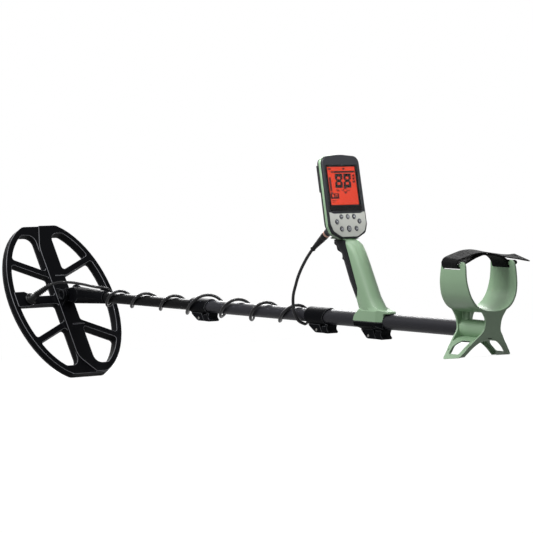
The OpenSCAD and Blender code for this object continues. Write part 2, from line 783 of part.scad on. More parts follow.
slot_x = 11;
slot_len = strap_w + 2;
slot_z = cuff_top - 11.5;
slot_h = strap_t + 2;
module armrest() {
  color(sage) difference() {
    intersection() {
      union() {
        along(armrest_x - over, armrest_x + armrest_l + over) {
          cuff_wall();
          leg_wall();
        }
        difference() {
          along(armrest_x - over, armrest_x + armrest_l + over) end_plate();
          translate([armrest_x, 0, 0]) across(cuff_w + 20) armrest_side(armrest_wall);
        }
        rod(armrest_x - over, armrest_x + armrest_l + over, sleeve_d / 2);
        // Post between the sleeve and the cuff, round the screw; the space behind it is open
        translate([armrest_x, -post_r, 0]) cube([post_x, 2 * post_r, cuff_bottom - 1]);
        translate([armrest_x + post_x, 0, 0]) cylinder(h = cuff_bottom - 1, r = post_r);
      }
      translate([armrest_x, 0, 0]) across(2 * foot_w) armrest_side(0);
    }
    rod(armrest_x - 2 * over, upper_tube_end + cap_t + slip, upper_r + slip);
    for (s = [-1, 1]) translate([armrest_x + slot_x, s * cuff_w / 2 - 10, 0]) {
      translate([0, 0, slot_z]) cube([slot_len, 20, slot_h]);
      // The bar over the slot is lower than the horns on both sides of it
      translate([0, 0, cuff_top - 3]) cube([slot_len, 20, 10]);
    }
    foot_windows();
    translate([armrest_x + post_x, 0, 0]) {
      cylinder(h = cuff_bottom + 10, r = armrest_screw_r + slip);
      translate([0, 0, cuff_bottom - 1.5]) cylinder(h = 12, r = screw_head_r + 0.2);
    }
    ground();
  }
}

// A rounded window in each leg, cut straight across
module foot_windows() {
  d = foot_depth;
  both_sides() translate([armrest_x, 26 + foot_w / 2, 0]) across(foot_w) polygon(rounded([
    [20, -d + 6.2, 3], [18, -d + 17.5, 7], [27, -d + 26, 6], [46.5, -d + 26, 3], [40.5, -d + 6.2, 4]
  ]));
}

module armrest_screw() {
  color(steel) translate([armrest_x + post_x, 0, 0]) {
    translate([0, 0, upper_bore + slip]) cylinder(h = cuff_bottom - upper_bore - 1.5, r = armrest_screw_r);
    translate([0, 0, cuff_bottom - 1.5]) difference() {
      cylinder(h = 2.4, r1 = screw_head_r, r2 = screw_head_r - 1);
      translate([0, 0, 1]) cylinder(h = 3, r = 2, $fn = 6);
    }
  }
}

// The strap's middle line seen from behind: round the left bar, over the arm and out at the right
bar_y = cuff_w / 2 - armrest_wall / 2 - 1;
bar_z = slot_z + slot_h;
strap_line = [
  [-bar_y + 4.6, bar_z + 4], [-bar_y + 4, bar_z - 0.5], [-bar_y + 1.5, slot_z + slot_h / 2],
  [-bar_y - 2, slot_z + slot_h / 2], [-bar_y - 4.4, bar_z + 0.5], [-bar_y - 4.4, bar_z + 5],
  [-bar_y - 1.5, bar_z + 10], [-bar_y + 8, cuff_top + 8], [-35, cuff_top + 10.7], [-20, cuff_top + 13.8],
  [-4, cuff_top + 15.5], [12, cuff_top + 15], [28, cuff_top + 13.4], [bar_y - 11, cuff_top + 10],
  [bar_y - 5, bar_z + 9], [bar_y - 4.4, bar_z + 3], [bar_y - 3.8, bar_z - 0.5], [bar_y - 1.5, slot_z + slot_h / 2],
  [bar_y + 2, slot_z + slot_h / 2], [bar_y + 4.4, bar_z + 0.5], [bar_y + 5, bar_z + 5],
  [bar_y + 11, cuff_top + 3.5], [76, cuff_top + 4.5], [88, cuff_top + 4], [99.5, cuff_top + 2]
];
module armrest_strap() {
  x0 = armrest_x + slot_x + (slot_len - strap_w) / 2;
  color(black) along(x0, x0 + strap_w) polygon(strip(spline(strap_line, 3), strap_t));
}

// ---------- grip ----------

grip_x = upper_set + grip_set;
grip_foot_x = grip_x + 38;           // where the grip's middle line meets the shaft's axis
grip_a = grip_l / 2;
grip_b = grip_w / 2;
head_z = 119;
function grip_mid(z) = grip_foot_x - z * tan(grip_lean);
saddle_r = upper_r + tube_fit;

module grip_section(x, z, a, b) {
  translate([x, 0, z]) linear_extrude(height = 0.5) scale([a, b]) circle(r = 1, $fn = hull_fn);
}

// The grip's body: a flared foot, a long waist and a head that leans forward under the pod
module grip_form(grow = 0) {
  a = grip_a + grow;
  b = grip_b + grow;
  hull() {
    grip_section(grip_mid(8) + 3, 8, a + 6, saddle_w / 2 - 1 + grow);
    grip_section(grip_mid(22), 22, a + 1.5, b + 0.6);
    grip_section(grip_mid(38), 38, a, b);
  }
  hull() {
    grip_section(grip_mid(38), 38, a, b);
    grip_section(grip_mid(62) - 1, 62, a + 0.6, b);
    grip_section(grip_mid(90), 90, a - 0.3, b);
    grip_section(grip_mid(106), 106, a - 1.2, b);
  }
  hull() {
    grip_section(grip_mid(106), 106, a - 1.2, b);
    grip_section(grip_mid(head_z) - 2, head_z, a - 1.5, b);
    grip_section(grip_mid(head_z) - 13, head_z + 7, a - 2, b);
  }
}

// The saddle over the tube: flat flanks, oblique rear corners and a low cape behind the grip
saddle_rear_half = 12.4;
module saddle_plan() {
  end = grip_x + saddle_l;
  polygon(rounded([
    [grip_x - over, -saddle_w / 2, 0], [end - 13.5, -saddle_w / 2, 3], [end - 0.5, -saddle_rear_half, 3],
    [end + 9, -8, 7], [end + 14, 0, 5], [end + 9, 8, 7], [end - 0.5, saddle_rear_half, 3],
    [end - 13.5, saddle_w / 2, 3], [grip_x - over, saddle_w / 2, 0]
  ]));
}
module saddle() {
  end = grip_x + saddle_l;
  intersection() {
    across(saddle_w + 4) polygon(rounded([
      [grip_x, -0.9, 0], [end, -0.9, 0], [end + 0.4, 12.4, 0], [end + 11, 12.6, 1], [end + 9, 16.2, 3],
      [end - 12, 19, 8], [end - 24, 24.4, 5], [end - 31, 32, 6], [grip_x + 16, 27, 6], [grip_x + 11, 15.8, 5],
      [grip_x + 2.6, 7.9, 3]
    ]));
    along(grip_x - over, end + 30) polygon(rounded([
      [-saddle_w / 2, -2, 0], [saddle_w / 2, -2, 0], [saddle_w / 2, 16, 3], [grip_b - 4, 24, 6], [8, 36, 4],
      [-8, 36, 4], [-grip_b + 4, 24, 6], [-saddle_w / 2, 16, 3]
    ]));
    translate([0, 0, -3]) linear_extrude(height = 50) saddle_plan();
  }
}

// The soft pad covers the front half of the grip and leaves a core inside it
pad_t = 3.2;
module pad_zone() {
  across(grip_w + 6) polygon(rounded([
    [grip_mid(36) - grip_a + 1, 33.5, 3], [grip_mid(41) - 9.5, 40, 5], [grip_mid(51) - 3, 51, 8],
    [grip_mid(97) + 1.5, 97, 10], [grip_mid(head_z) - 1, head_z + 9, 0], [grip_mid(head_z) - 50, head_z + 9, 0],
    [grip_mid(36) - grip_a - 30, 33.5, 0]
  ]));
}
module grip_core() {
  a = grip_a - pad_t;
  b = grip_b - pad_t;
  hull() {
    grip_section(grip_mid(28), 28, a, b);
    grip_section(grip_mid(head_z) - 2, head_z, a, b);
    grip_section(grip_mid(head_z) - 14, head_z + 10, a, b);
  }
}

// Finger stop under the pod, part of the pad
module finger_stop() {
  m = grip_mid(head_z);
  across(grip_w - 9.6) polygon(rounded([
    [m - 30, head_z + 5, 1], [m - 29, head_z + 0.5, 2], [m - 24, head_z - 2, 2], [m - 21.5, head_z - 9.4, 4],
    [m - 9, head_z - 13.5, 5], [grip_mid(96) - grip_a + 3, 96, 0], [grip_mid(96) - grip_a + 9, 94, 0],
    [grip_mid(108) - grip_a + 9, 110, 0], [m - 13, head_z + 5, 0]
  ]));
}
// Lip of the grip's head, between the pod and the finger stop
module head_lip() {
  m = grip_mid(head_z);
  across(grip_w - 3) polygon(rounded([
    [m - 35, head_z + 9.2, 1], [m - 22, head_z + 6, 3], [m - 4, head_z + 3.6, 0], [m - 2, head_z + 14, 0],
    [m - 28, head_z + 14, 1], [m - 34.4, head_z + 11.5, 1]
  ]));
}

module grip_body() {
  color(sage) difference() {
    union() {
      grip_form();
      saddle();
      head_lip();
      pod_bracket();
    }
    rod(grip_x - 20, grip_x + saddle_l + 60, saddle_r);
    translate([grip_x - 20, -saddle_w, -saddle_w - 0.9]) cube([saddle_l + 80, 2 * saddle_w, saddle_w]);
    difference() {
      union() {
        pad_zone();
        finger_stop();
      }
      grip_core();
    }
    pod_space();
    for (x = clamp_screw_x, s = [-1, 1]) translate([x, s * clamp_screw_y, -over]) cylinder(h = over + 7, r = 1.2);
  }
}

module grip_pad() {
  color(black) difference() {
    union() {
      intersection() {
        grip_form(0.6);
        pad_zone();
      }
      finger_stop();
    }
    grip_core();
    pod_space();
  }
}

clamp_screw_x = [grip_x + 6.5, grip_x + saddle_l - 20];
clamp_screw_y = saddle_w / 2 - 2.3;
grip_cam_x = grip_x + 2;             // front of the grip's cam lock, as on a collar
grip_pin_z = pin_z(upper_r) - 2;
clamp_low = -upper_r - 1.4;

module grip_clamp() {
  end = grip_x + saddle_l;
  color(black) difference() {
    union() {
      intersection() {
        across(saddle_w) polygon(rounded([
          [grip_x + 1, -1.2, 0], [grip_x + 2, -8.6, 3], [grip_x + 15, clamp_low, 4], [end, clamp_low, 1], [end, -1.2, 0]
        ]));
        along(grip_x, end) polygon(rounded([
          [-saddle_w / 2, -1.2, 0], [-saddle_w / 2, -8, 4], [-9, clamp_low, 3], [9, clamp_low, 3],
          [saddle_w / 2, -8, 4], [saddle_w / 2, -1.2, 0]
        ]));
        translate([0, 0, -50]) linear_extrude(height = 50) saddle_plan();
      }
      translate([grip_cam_x, 0, 0]) cam_ears(-upper_r - 0.6, grip_pin_z, 17, ear_back + 3.6);
    }
    rod(grip_x - over, end + over, saddle_r);
    for (x = clamp_screw_x, s = [-1, 1]) translate([x, s * clamp_screw_y, -20]) {
      cylinder(h = 30, r = 1.2);
      cylinder(h = 20 - 5.4, r = 2);
    }
  }
}
module grip_clamp_screws() {
  color(steel) for (x = clamp_screw_x, s = [-1, 1]) translate([x, s * clamp_screw_y, 0]) {
    translate([0, 0, -5.4]) cylinder(h = 11, r = 1.2 - slip);
    translate([0, 0, -7]) cylinder(h = 1.6, r = 2 - slip);
  }
}
module grip_cam_pin() {
  translate([grip_cam_x, 0, 0]) cam_pin(grip_pin_z);
}
module grip_cam_lever() {
  translate([grip_cam_x, 0, 0]) cam_lever(upper_r, grip_pin_z, plate_start + 3.6, plate_end + 4.1, clamp_low - seam, saddle_l);
}

// ---------- control pod ----------

// The pod's frame has X to the user's right, Y up the face and Z out of it; the screen's middle is at 0.
pod_foot = [grip_mid(head_z) - 3, head_z + 10];   // where the face's lower edge stands
pod_mid_x = pod_foot.x - (screen_z - pod_foot.y) * tan(pod_lean);
module at_pod() {
  translate([pod_mid_x, 0, screen_z]) rotate([0, -pod_lean, 0]) rotate([90, 0, 90]) children();
}

// The pod's outline: a bowed top, nearly straight sides and a narrowed bottom
module pod_outline(in = 0) {
  w = pod_w / 2 - in;
  t = pod_top - in;
  b = -pod_drop + in;
  polygon(rounded([
    [-17, b, 9], [17, b, 9], [w - 5, b + 9, 9], [w, b + 22, 12], [w - 1, t - 3.6, 12 - in * 0.6],
    [0, t + 0.1, 110], [-w + 1, t - 3.6, 12 - in * 0.6], [-w, b + 22, 12], [-w + 5, b + 9, 9]
  ], 6));
}

window_t = 1.6;
window_low = -41.5;
module window_outline(grow = 0) {
  w = pod_w / 2 - 5.8 + grow;
  polygon(rounded([[-w, window_low - grow, 4], [w, window_low - grow, 4], [w - 1, 34 + grow, 4], [-w + 1, 34 + grow, 4]]));
}

// The keypad's plate: its upper edge dips in the middle, under the window
module keypad_outline(in = 0) {
  w = pod_w / 2;
  intersection() {
    pod_outline(3 + in);
    polygon(rounded([
      [-w, -pod_drop - 5, 0], [w, -pod_drop - 5, 0], [w, window_low - 1.5 - in, 0], [w - 7, window_low - 1.8 - in, 8],
      [w - 12, window_low - 4 - in, 8], [-w + 12, window_low - 4 - in, 8], [-w + 7, window_low - 1.8 - in, 8],
      [-w, window_low - 1.5 - in, 0]
    ]));
  }
}

// Buttons as [x, y, diameter], in three rows
row_1 = window_low - 9.2;
row_2 = row_1 - 8;
row_3 = row_1 - 19.7;
buttons = [
  [-13.7, row_1, button_d], [0, row_1, button_d], [13.7, row_1, button_d], [-24.4, row_2, button_d],
  [24.4, row_2, button_d], [-16.1, row_3, button_d], [0, row_3, main_button_d], [16.1, row_3, button_d]
];
button_proud = 1.1;
keypad_t = 1.2;
keypad_lift = 0.5;                   // the keypad's face stands proud of the bezel
flange_w = 0.9;                      // the flange that keeps a button behind the bezel
button_low = -bezel_depth - 1.3;

module button_holes(z0, z1) {
  for (b = buttons) translate([b.x, b.y, z0]) cylinder(h = z1 - z0, r = b.z / 2 + button_gap);
}

module pod_bezel() {
  color(charcoal) at_pod() difference() {
    union() {
      translate([0, 0, -bezel_depth]) linear_extrude(height = bezel_depth - 1) pod_outline();
      translate([0, 0, -1 - over]) linear_extrude(height = 1 + over) pod_outline(1);
    }
    translate([0, 0, -window_t - 0.2]) linear_extrude(height = window_t + over) window_outline(slip);
    translate([-screen_w / 2 - 0.5, -screen_h / 2 - 0.5, -bezel_depth - over])
      cube([screen_w + 1, screen_h + 1, bezel_depth + 2 * over]);
    translate([0, 0, keypad_lift - keypad_t - slip]) linear_extrude(height = 3) keypad_outline(-slip);
    button_holes(-bezel_depth - over, over);
  }
}

module screen_window() {
  color("#101012", 0.6) at_pod() translate([0, 0, -window_t - 0.2]) linear_extrude(height = window_t)
    window_outline();
}
panel_t = 2.2;
module screen_panel() {
  color("#e8432b") at_pod() translate([-screen_w / 2, -screen_h / 2, -window_t - 0.2 - panel_t])
    cube([screen_w, screen_h, panel_t]);
}

module keypad_plate() {
  color("#b4b6b0") at_pod() difference() {
    translate([0, 0, keypad_lift - keypad_t]) linear_extrude(height = keypad_t) keypad_outline();
    button_holes(-keypad_t, keypad_lift + over);
  }
}

module button(i) {
  b = buttons[i];
  r = b.z / 2;
  face = keypad_lift + button_proud;
  color(charcoal) at_pod() translate([b.x, b.y, 0]) {
    translate([0, 0, button_low]) cylinder(h = face - 0.4 - button_low, r = r);
    translate([0, 0, face - 0.4]) cylinder(h = 0.4, r1 = r, r2 = r - 0.4);
    translate([0, 0, button_low]) cylinder(h = -bezel_depth - 0.2 - button_low, r = r + flange_w);
  }
}
module button_upper_left() { button(0); }
module button_upper_middle() { button(1); }
module button_upper_right() { button(2); }
module button_side_left() { button(3); }
module button_side_right() { button(4); }
module button_lower_left() { button(5); }
module button_main() { button(6); }
module button_lower_right() { button(7); }

band_back = -bezel_depth - band_depth;
module pod_band() {
  color(sage) at_pod() translate([0, 0, band_back]) difference() {
    linear_extrude(height = band_depth) pod_outline(-0.5);
    translate([0, 0, -over]) linear_extrude(height = band_depth + 2 * over) pod_outline(pod_wall);
  }
}

// The rear cover tapers towards its back
module pod_back_form(in) {
  hull() {
    translate([0, 0, band_back - 4]) linear_extrude(height = 4) pod_outline(0.5 + in);
    translate([0, 0, -pod_depth + in]) linear_extrude(height = 1) pod_outline(9 + in);
  }
}
pod_solid_y = -pod_drop + 34;        // the rear cover is solid below this, round the plug and the bracket
module pod_back() {
  color(black) difference() {
    union() {
      at_pod() pod_back_form(0);
      at_plug() translate([0, 0, -plug_gap + 0.2]) cylinder(h = plug_gap + 2.8, r = plug_r + 1.6);
    }
    at_pod() intersection() {
      pod_back_form(pod_wall);
      union() {
        translate([-pod_w / 2, pod_solid_y, -pod_depth]) cube([pod_w, pod_drop + pod_top, pod_depth]);
        translate([-pod_w / 2, -pod_drop, board_z - 0.6]) cube([pod_w, pod_drop, -board_z]);
      }
    }
    at_pod() for (p = pod_screws_at)
      translate([p.x, p.y, -pod_depth - over]) cylinder(h = over + 6, r = 1.3);
    at_plug() translate([0, 0, -plug_gap - over]) cylinder(h = plug_gap + over + 8.5, r = plug_r + slip);
  }
}

board_z = -9.6;
board_t = 1.6;
module circuit_board() {
  w = pod_w / 2 - pod_wall - 5;
  color("#1f5a36") at_pod() {
    translate([0, 0, board_z]) linear_extrude(height = board_t) polygon(rounded([
      [-20, -pod_drop + 12, 3], [20, -pod_drop + 12, 3], [w, -pod_drop + 26, 3], [w, pod_top - 9, 4], [-w, pod_top - 9, 4],
      [-w, -pod_drop + 26, 3]
    ]));
    // Switch domes under the buttons
    for (b = buttons) translate([b.x, b.y, board_z]) cylinder(h = button_low - button_travel - seam - board_z, r = 2.6);
  }
}
cell_t = 6.5;
module battery_cell() {
  color("#4c6fae") at_pod() translate([0, 0, -pod_depth + pod_wall + 0.8]) linear_extrude(height = cell_t)
    polygon(rounded([[-26, -38, 3], [26, -38, 3], [26, -6, 3], [-26, -6, 3]]));
}
module speaker() {
  color(black) at_pod() translate([0, 16, -pod_depth + pod_wall + 0.8]) {
    cylinder(h = 2.5, r = 14);
    cylinder(h = 7, r = 8.5);
  }
}

// The bracket carries the pod on the grip's head
bracket_t = 4.5;
bracket_w = 20;
bracket_top = -pod_drop + 42;
pod_screws_at = [[0, -pod_drop + 20], [0, -pod_drop + 35]];
module pod_bracket() {
  difference() {
    hull() {
      at_pod() translate([0, 0, -pod_depth - bracket_t]) linear_extrude(height = bracket_t) polygon(rounded([
        [-bracket_w / 2, -pod_drop - 1, 2], [bracket_w / 2, -pod_drop - 1, 2],
        [bracket_w / 2 - 2, bracket_top, 5], [-bracket_w / 2 + 2, bracket_top, 5]
      ]));
      grip_section(grip_mid(head_z) - 16, head_z + 1, grip_a - 9, bracket_w / 2);
    }
    at_pod() for (p = pod_screws_at) translate([p.x, p.y, -pod_depth - bracket_t - 30]) {
      cylinder(h = bracket_t + 40, r = 1.5);
      cylinder(h = 31, r = 3.2);
    }
  }
}
// The pod's own space above the grip's head
module pod_space() {
  at_pod() {
    translate([-pod_w / 2, -pod_drop - 0.6, -pod_depth]) cube([pod_w, pod_drop + pod_top, pod_depth + 40]);
  }
}
module pod_screws() {
  color(steel) at_pod() for (p = pod_screws_at) {
    translate([p.x, p.y, -pod_depth - bracket_t + 1]) cylinder(h = bracket_t + 4, r = 1.3 - slip);
    translate([p.x, p.y, -pod_depth - bracket_t - 0.8]) cylinder(h = 1.8, r = 2.9);
  }
}

// ---------- lead ----------

lead_r = lead_d / 2;
plug_y = -23;                        // the lead's plug enters the pod left of the middle
plug_lean = 26.7;                    // the plug's axis hangs below the pod's normal
plug_up = 16.9;                      // from the pod's lower edge up to the plug
plug_r = 5;
plug_ring_r = 6.4;
plug_gap = 7.4;                      // from the pod's back to the plug's ring
plug_ring_t = 3.2;
plug_boot_len = 41;
module at_plug() {
  at_pod() translate([plug_y, -pod_drop + plug_up, -pod_depth]) rotate([-plug_lean, 0, 0]) children();
}
// The plug: a metal ring outside and a barrel inside the pod's socket
module lead_plug() {
  color(copper) at_plug() {
    translate([0, 0, -plug_gap - plug_ring_t]) cylinder(h = plug_ring_t, r = plug_ring_r);
    translate([0, 0, -plug_gap - 1]) cylinder(h = plug_gap + 9, r = plug_r);
  }
}
module lead_plug_boot() {
  color(rubber) at_plug() translate([0, 0, -plug_gap - plug_ring_t - plug_boot_len]) {
    cylinder(h = 3, r = 4.4);
    translate([0, 0, 3]) cylinder(h = plug_boot_len - 11, r1 = 3.7, r2 = 5.9);
    translate([0, 0, plug_boot_len - 8]) cylinder(h = 8, r = 6.2);
  }
}

// A point of the coil's frame, seen in the shaft frame
function from_coil(p) =
  let (c = cos(coil_angle), s = sin(coil_angle), z = p.z - hinge_h)
  [p.x * c + z * s, p.y, -p.x * s + z * c];
function boot_point(d) = from_coil([0, block_y, block_h + boot_lift] + unit(boot_dir) * d);

// From the coil's boot over the hinge to the first wrap
lead_start = [
  boot_point(boot_len), boot_point(boot_len + 9), [17, -36.5, 23.5], [32, -31, 24.5], [50, -25, 24],
  [68, -18.5, 22], [83, -13, 19.5], [94, -6.5, 17.5], [102, 3, 16], [108, 13.4, 9.2], [112.5, 14.6, -4.4], [115.4, 6.4, -13.6]
];
// The turns round the shaft, as [angle from the bottom, x, distance from the axis]
lead_turns = [
  [0, 116, 14.6], [180, 153, 13.4], [360, 186, 13], [540, 227, 13], [720, 267, 13], [900, 306, 13.2], [1080, 341, 15.4],
  [1260, 396, 19.2], [1370, 423, 18], [1440, 432, 16], [1620, 477, 16], [1800, 512, 16.6], [1980, 551, 15],
  [2160, 584, 14.6], [2340, 628, 14.6], [2520, 646, 15.4]
];
// From the last turn up to the plug's boot
lead_end = [
  [643.6, -12, -9.5], [639, -17.5, 4], [637, -18, 18], [637.6, -18, 33], [644.4, -18.7, 50], [650.6, -19.8, 62],
  [658.6, -21, 74], [668, -22, 86], [678.4, -22.8, 98], [689.8, -23, 109.6]
];
turn_rings = 4;                      // rings of the lead from one entry of lead_turns to the next
lead_route = concat(lead_start, [for (p = spline(lead_turns, turn_rings)) [p.y, -p.z * sin(p.x), -p.z * cos(p.x)]],
  lead_end);
wraps_from = len(lead_start);
lock_ring = wraps_from + 9 * turn_rings;   // here the lead has passed the lower cam lock
wraps_to = wraps_from + (len(lead_turns) - 1) * turn_rings;

module lead_coil_end() {
  color(rubber) hose(lead_route, 0, wraps_from, lead_r, seam);
}
module lead_wraps_lower() {
  color(rubber) hose(lead_route, wraps_from, lock_ring, lead_r, seam);
}
module lead_wraps_upper() {
  color(rubber) hose(lead_route, lock_ring, wraps_to, lead_r, seam);
}
module lead_rise() {
  color(rubber) hose(lead_route, wraps_to, len(lead_route) - 1, lead_r, seam);
}

// ---------- all nodes ----------

stand() coil_housing();
stand() coil_skid_plate();
stand() transmit_winding();
stand() receive_winding();
stand() coil_lead_boot();
stand() hinge_bolt();
stand() hinge_nut();
stand() hinge_washers();
stand() shaft_tip();
stand() lower_tube();
stand() lower_tube_plug();
stand() middle_tube();
stand() middle_tube_ring();
stand() lower_cam_collar();
stand() lower_cam_pin();
stand() lower_cam_lever();
stand() upper_tube();
stand() upper_tube_cap();
stand() upper_cam_collar();
stand() upper_cam_pin();
stand() upper_cam_lever();
stand() grip_body();
stand() grip_pad();
stand() grip_clamp();
stand() grip_clamp_screws();
stand() grip_cam_pin();
stand() grip_cam_lever();
stand() pod_bezel();
stand() pod_band();
stand() pod_back();
stand() pod_screws();
stand() screen_window();
stand() screen_panel();
stand() circuit_board();
stand() battery_cell();
stand() speaker();
stand() keypad_plate();
stand() button_upper_left();
stand() button_upper_middle();
stand() button_upper_right();
stand() button_side_left();
stand() button_side_right();
stand() button_lower_left();
stand() button_main();
stand() button_lower_right();
stand() lead_plug();
stand() lead_plug_boot();
stand() lead_coil_end();
stand() lead_wraps_lower();
stand() lead_wraps_upper();
stand() lead_rise();
stand() armrest();
stand() armrest_screw();
stand() armrest_strap();
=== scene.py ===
import json
import math

import bmesh
import bpy
from mathutils import Euler, Matrix, Vector
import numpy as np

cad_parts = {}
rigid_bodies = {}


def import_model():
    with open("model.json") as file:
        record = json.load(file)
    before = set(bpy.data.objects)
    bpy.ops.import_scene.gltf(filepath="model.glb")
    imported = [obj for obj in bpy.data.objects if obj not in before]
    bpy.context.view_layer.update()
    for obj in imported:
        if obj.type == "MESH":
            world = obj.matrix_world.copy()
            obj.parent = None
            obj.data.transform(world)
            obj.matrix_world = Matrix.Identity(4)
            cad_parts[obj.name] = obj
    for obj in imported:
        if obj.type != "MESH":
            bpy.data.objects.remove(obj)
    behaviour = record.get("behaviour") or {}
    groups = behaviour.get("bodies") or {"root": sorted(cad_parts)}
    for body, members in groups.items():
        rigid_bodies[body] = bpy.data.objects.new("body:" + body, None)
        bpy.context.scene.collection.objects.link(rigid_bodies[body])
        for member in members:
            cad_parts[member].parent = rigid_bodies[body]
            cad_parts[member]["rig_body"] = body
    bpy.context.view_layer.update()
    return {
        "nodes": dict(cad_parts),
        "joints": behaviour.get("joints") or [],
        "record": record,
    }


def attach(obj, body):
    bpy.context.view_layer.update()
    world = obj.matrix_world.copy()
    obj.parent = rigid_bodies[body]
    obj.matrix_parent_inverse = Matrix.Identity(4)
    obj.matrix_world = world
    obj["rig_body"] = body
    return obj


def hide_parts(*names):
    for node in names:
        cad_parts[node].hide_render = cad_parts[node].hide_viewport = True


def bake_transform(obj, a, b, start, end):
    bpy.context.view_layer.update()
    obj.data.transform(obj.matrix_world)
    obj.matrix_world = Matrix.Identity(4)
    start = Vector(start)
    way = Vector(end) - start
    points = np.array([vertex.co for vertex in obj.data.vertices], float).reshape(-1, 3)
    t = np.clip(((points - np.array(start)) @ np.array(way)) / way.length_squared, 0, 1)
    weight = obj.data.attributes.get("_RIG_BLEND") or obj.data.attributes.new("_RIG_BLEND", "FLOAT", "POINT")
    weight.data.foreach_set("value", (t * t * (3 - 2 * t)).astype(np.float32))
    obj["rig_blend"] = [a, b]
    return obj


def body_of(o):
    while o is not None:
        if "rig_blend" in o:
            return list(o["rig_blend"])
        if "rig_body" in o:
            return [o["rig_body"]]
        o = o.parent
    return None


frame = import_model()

# ----------------------------------------------------------------
# View: a long lens 4.7 m away, behind the user's end and to its left, low over the table, and rolled
# by a few degrees.
scene = bpy.context.scene
camera_data = bpy.data.cameras.new("camera")
camera_data.lens = 186.8
camera_data.sensor_width = 36.0
camera_data.clip_end = 40.0
camera = bpy.data.objects.new("camera", camera_data)
camera.location = (3.5544, -3.0093, 0.0604)
camera.rotation_euler = Euler([math.radians(a) for a in (91.342, 3.816, 49.335)])
scene.collection.objects.link(camera)
scene.camera = camera
scene.view_settings.view_transform = "Standard"


# ----------------------------------------------------------------
# Studio: a white floor and backdrop that keep a faint shadow, a large key lamp high on the left, one
# overhead, a strip behind the coil for the light line along the tubes, and a strip and a snoot in front.
def srgb(code):
    """A #RRGGBB colour as linear RGBA."""
    parts = [int(code[i:i + 2], 16) / 255 for i in (1, 3, 5)]
    return tuple(c / 12.92 if c <= 0.04045 else ((c + 0.055) / 1.055) ** 2.4 for c in parts) + (1.0,)


def add(tree, kind, settings=None, **inputs):
    """Add a node, set its properties, and set or link its inputs by name, or by number as i0, i1 and so on.
    A node given to an input stands for its first output."""
    node = tree.nodes.new(kind)
    for name, value in (settings or {}).items():
        setattr(node, name, value)
    for name, value in inputs.items():
        numbered = name[0] == "i" and name[1:].isdigit()
        socket = node.inputs[int(name[1:])] if numbered else node.inputs[name.replace("_", " ")]
        if isinstance(value, bpy.types.Node):
            value = value.outputs[0]
        if isinstance(value, bpy.types.NodeSocket):
            tree.links.new(value, socket)
        else:
            socket.default_value = value
    return node


def blank(name, uv_map=None):
    """A new material, its empty tree, and the place that its patterns read: on the object or on a UV map."""
    material = bpy.data.materials.new(name)
    material.use_nodes = True
    tree = material.node_tree
    tree.nodes.clear()
    if uv_map:
        return material, tree, add(tree, "ShaderNodeUVMap", {"uv_map": uv_map}).outputs["UV"]
    return material, tree, add(tree, "ShaderNodeTexCoord").outputs["Object"]


as_colours = {"data_type": "RGBA"}  # the setting of a Mix node that mixes colours


def seen_rays(tree):
    """1 for the rays that show the backdrop itself: straight, in a reflection or through glass."""
    path = add(tree, "ShaderNodeLightPath")
    straight = add(tree, "ShaderNodeMath", {"operation": "MAXIMUM"},
                   i0=path.outputs["Is Camera Ray"], i1=path.outputs["Is Glossy Ray"])
    return add(tree, "ShaderNodeMath", {"operation": "MAXIMUM"},
               i0=straight, i1=path.outputs["Is Transmission Ray"])


world = bpy.data.worlds.new("studio")
scene.world = world
world.use_nodes = True
nt = world.node_tree
nt.nodes.clear()
white = srgb("#FFFFFF")
# It looks white but lights the object by only 7 percent
strength = add(nt, "ShaderNodeMapRange", Value=seen_rays(nt), To_Min=0.07, To_Max=1.0)
back = add(nt, "ShaderNodeBackground", Color=white, Strength=strength)
add(nt, "ShaderNodeOutputWorld", Surface=back)

# Matt paper that takes the shadow; its own glow makes it pale under the object and white from 2.2 m away
floor_finish, nt, place = blank("white paper sweep")
paper = add(nt, "ShaderNodeBsdfDiffuse", Color=srgb("#606060"))
away = add(nt, "ShaderNodeVectorMath", {"operation": "LENGTH"}, i0=place)
whiter = add(nt, "ShaderNodeMapRange", Value=away.outputs["Value"], From_Min=0.8, From_Max=2.2,
             To_Min=0.89, To_Max=1.0)
glow = add(nt, "ShaderNodeMath", {"operation": "MULTIPLY"}, i0=whiter, i1=seen_rays(nt))
light = add(nt, "ShaderNodeEmission", Color=white, Strength=glow)
both = add(nt, "ShaderNodeAddShader", i0=paper, i1=light)
add(nt, "ShaderNodeOutputMaterial", Surface=both)
floor_finish.cycles.emission_sampling = "NONE"
floor_half = 9.0  # metres
floor_data = bpy.data.meshes.new("floor")
floor_data.from_pydata([(x * floor_half, y * floor_half, 0) for x, y in ((-1, -1), (1, -1), (1, 1), (-1, 1))],
                       [], [(0, 1, 2, 3)])
floor_data.materials.append(floor_finish)
floor = bpy.data.objects.new("floor", floor_data)
scene.collection.objects.link(floor)


def lamp(name, place, target, size, watts, spread=180):
    """A rectangular lamp, placed and sized in metres, that faces its target."""
    data = bpy.data.lights.new(name, "AREA")
    data.spread = math.radians(spread)
    data.shape = "RECTANGLE"
    data.size, data.size_y = size
    data.energy = watts
    lamp_object = bpy.data.objects.new(name, data)
    lamp_object.location = place
    lamp_object.rotation_euler = (Vector(target) - Vector(place)).to_track_quat("-Z", "Y").to_euler()
    lamp_object.visible_camera = False
    scene.collection.objects.link(lamp_object)


lamp("key", (-0.1, -1.7, 2.3), (0, 0, 0.15), (1.6, 1.2), 59)
lamp("top", (0.5, 0.15, 2.4), (0.45, 0, 0.1), (1.2, 0.8), 22)
lamp("back strip", (-2.3, 1.4, 1.5), (0.1, 0, 0.1), (1.8, 0.45), 92)
lamp("side strip", (0.7, -2.6, 1.7), (0.3, 0, 0.2), (0.2, 1.4), 20)
lamp("snoot", (1.9, -0.5, 1.3), (0.25, 0, 0.36), (0.12, 0.12), 0.32, 10)

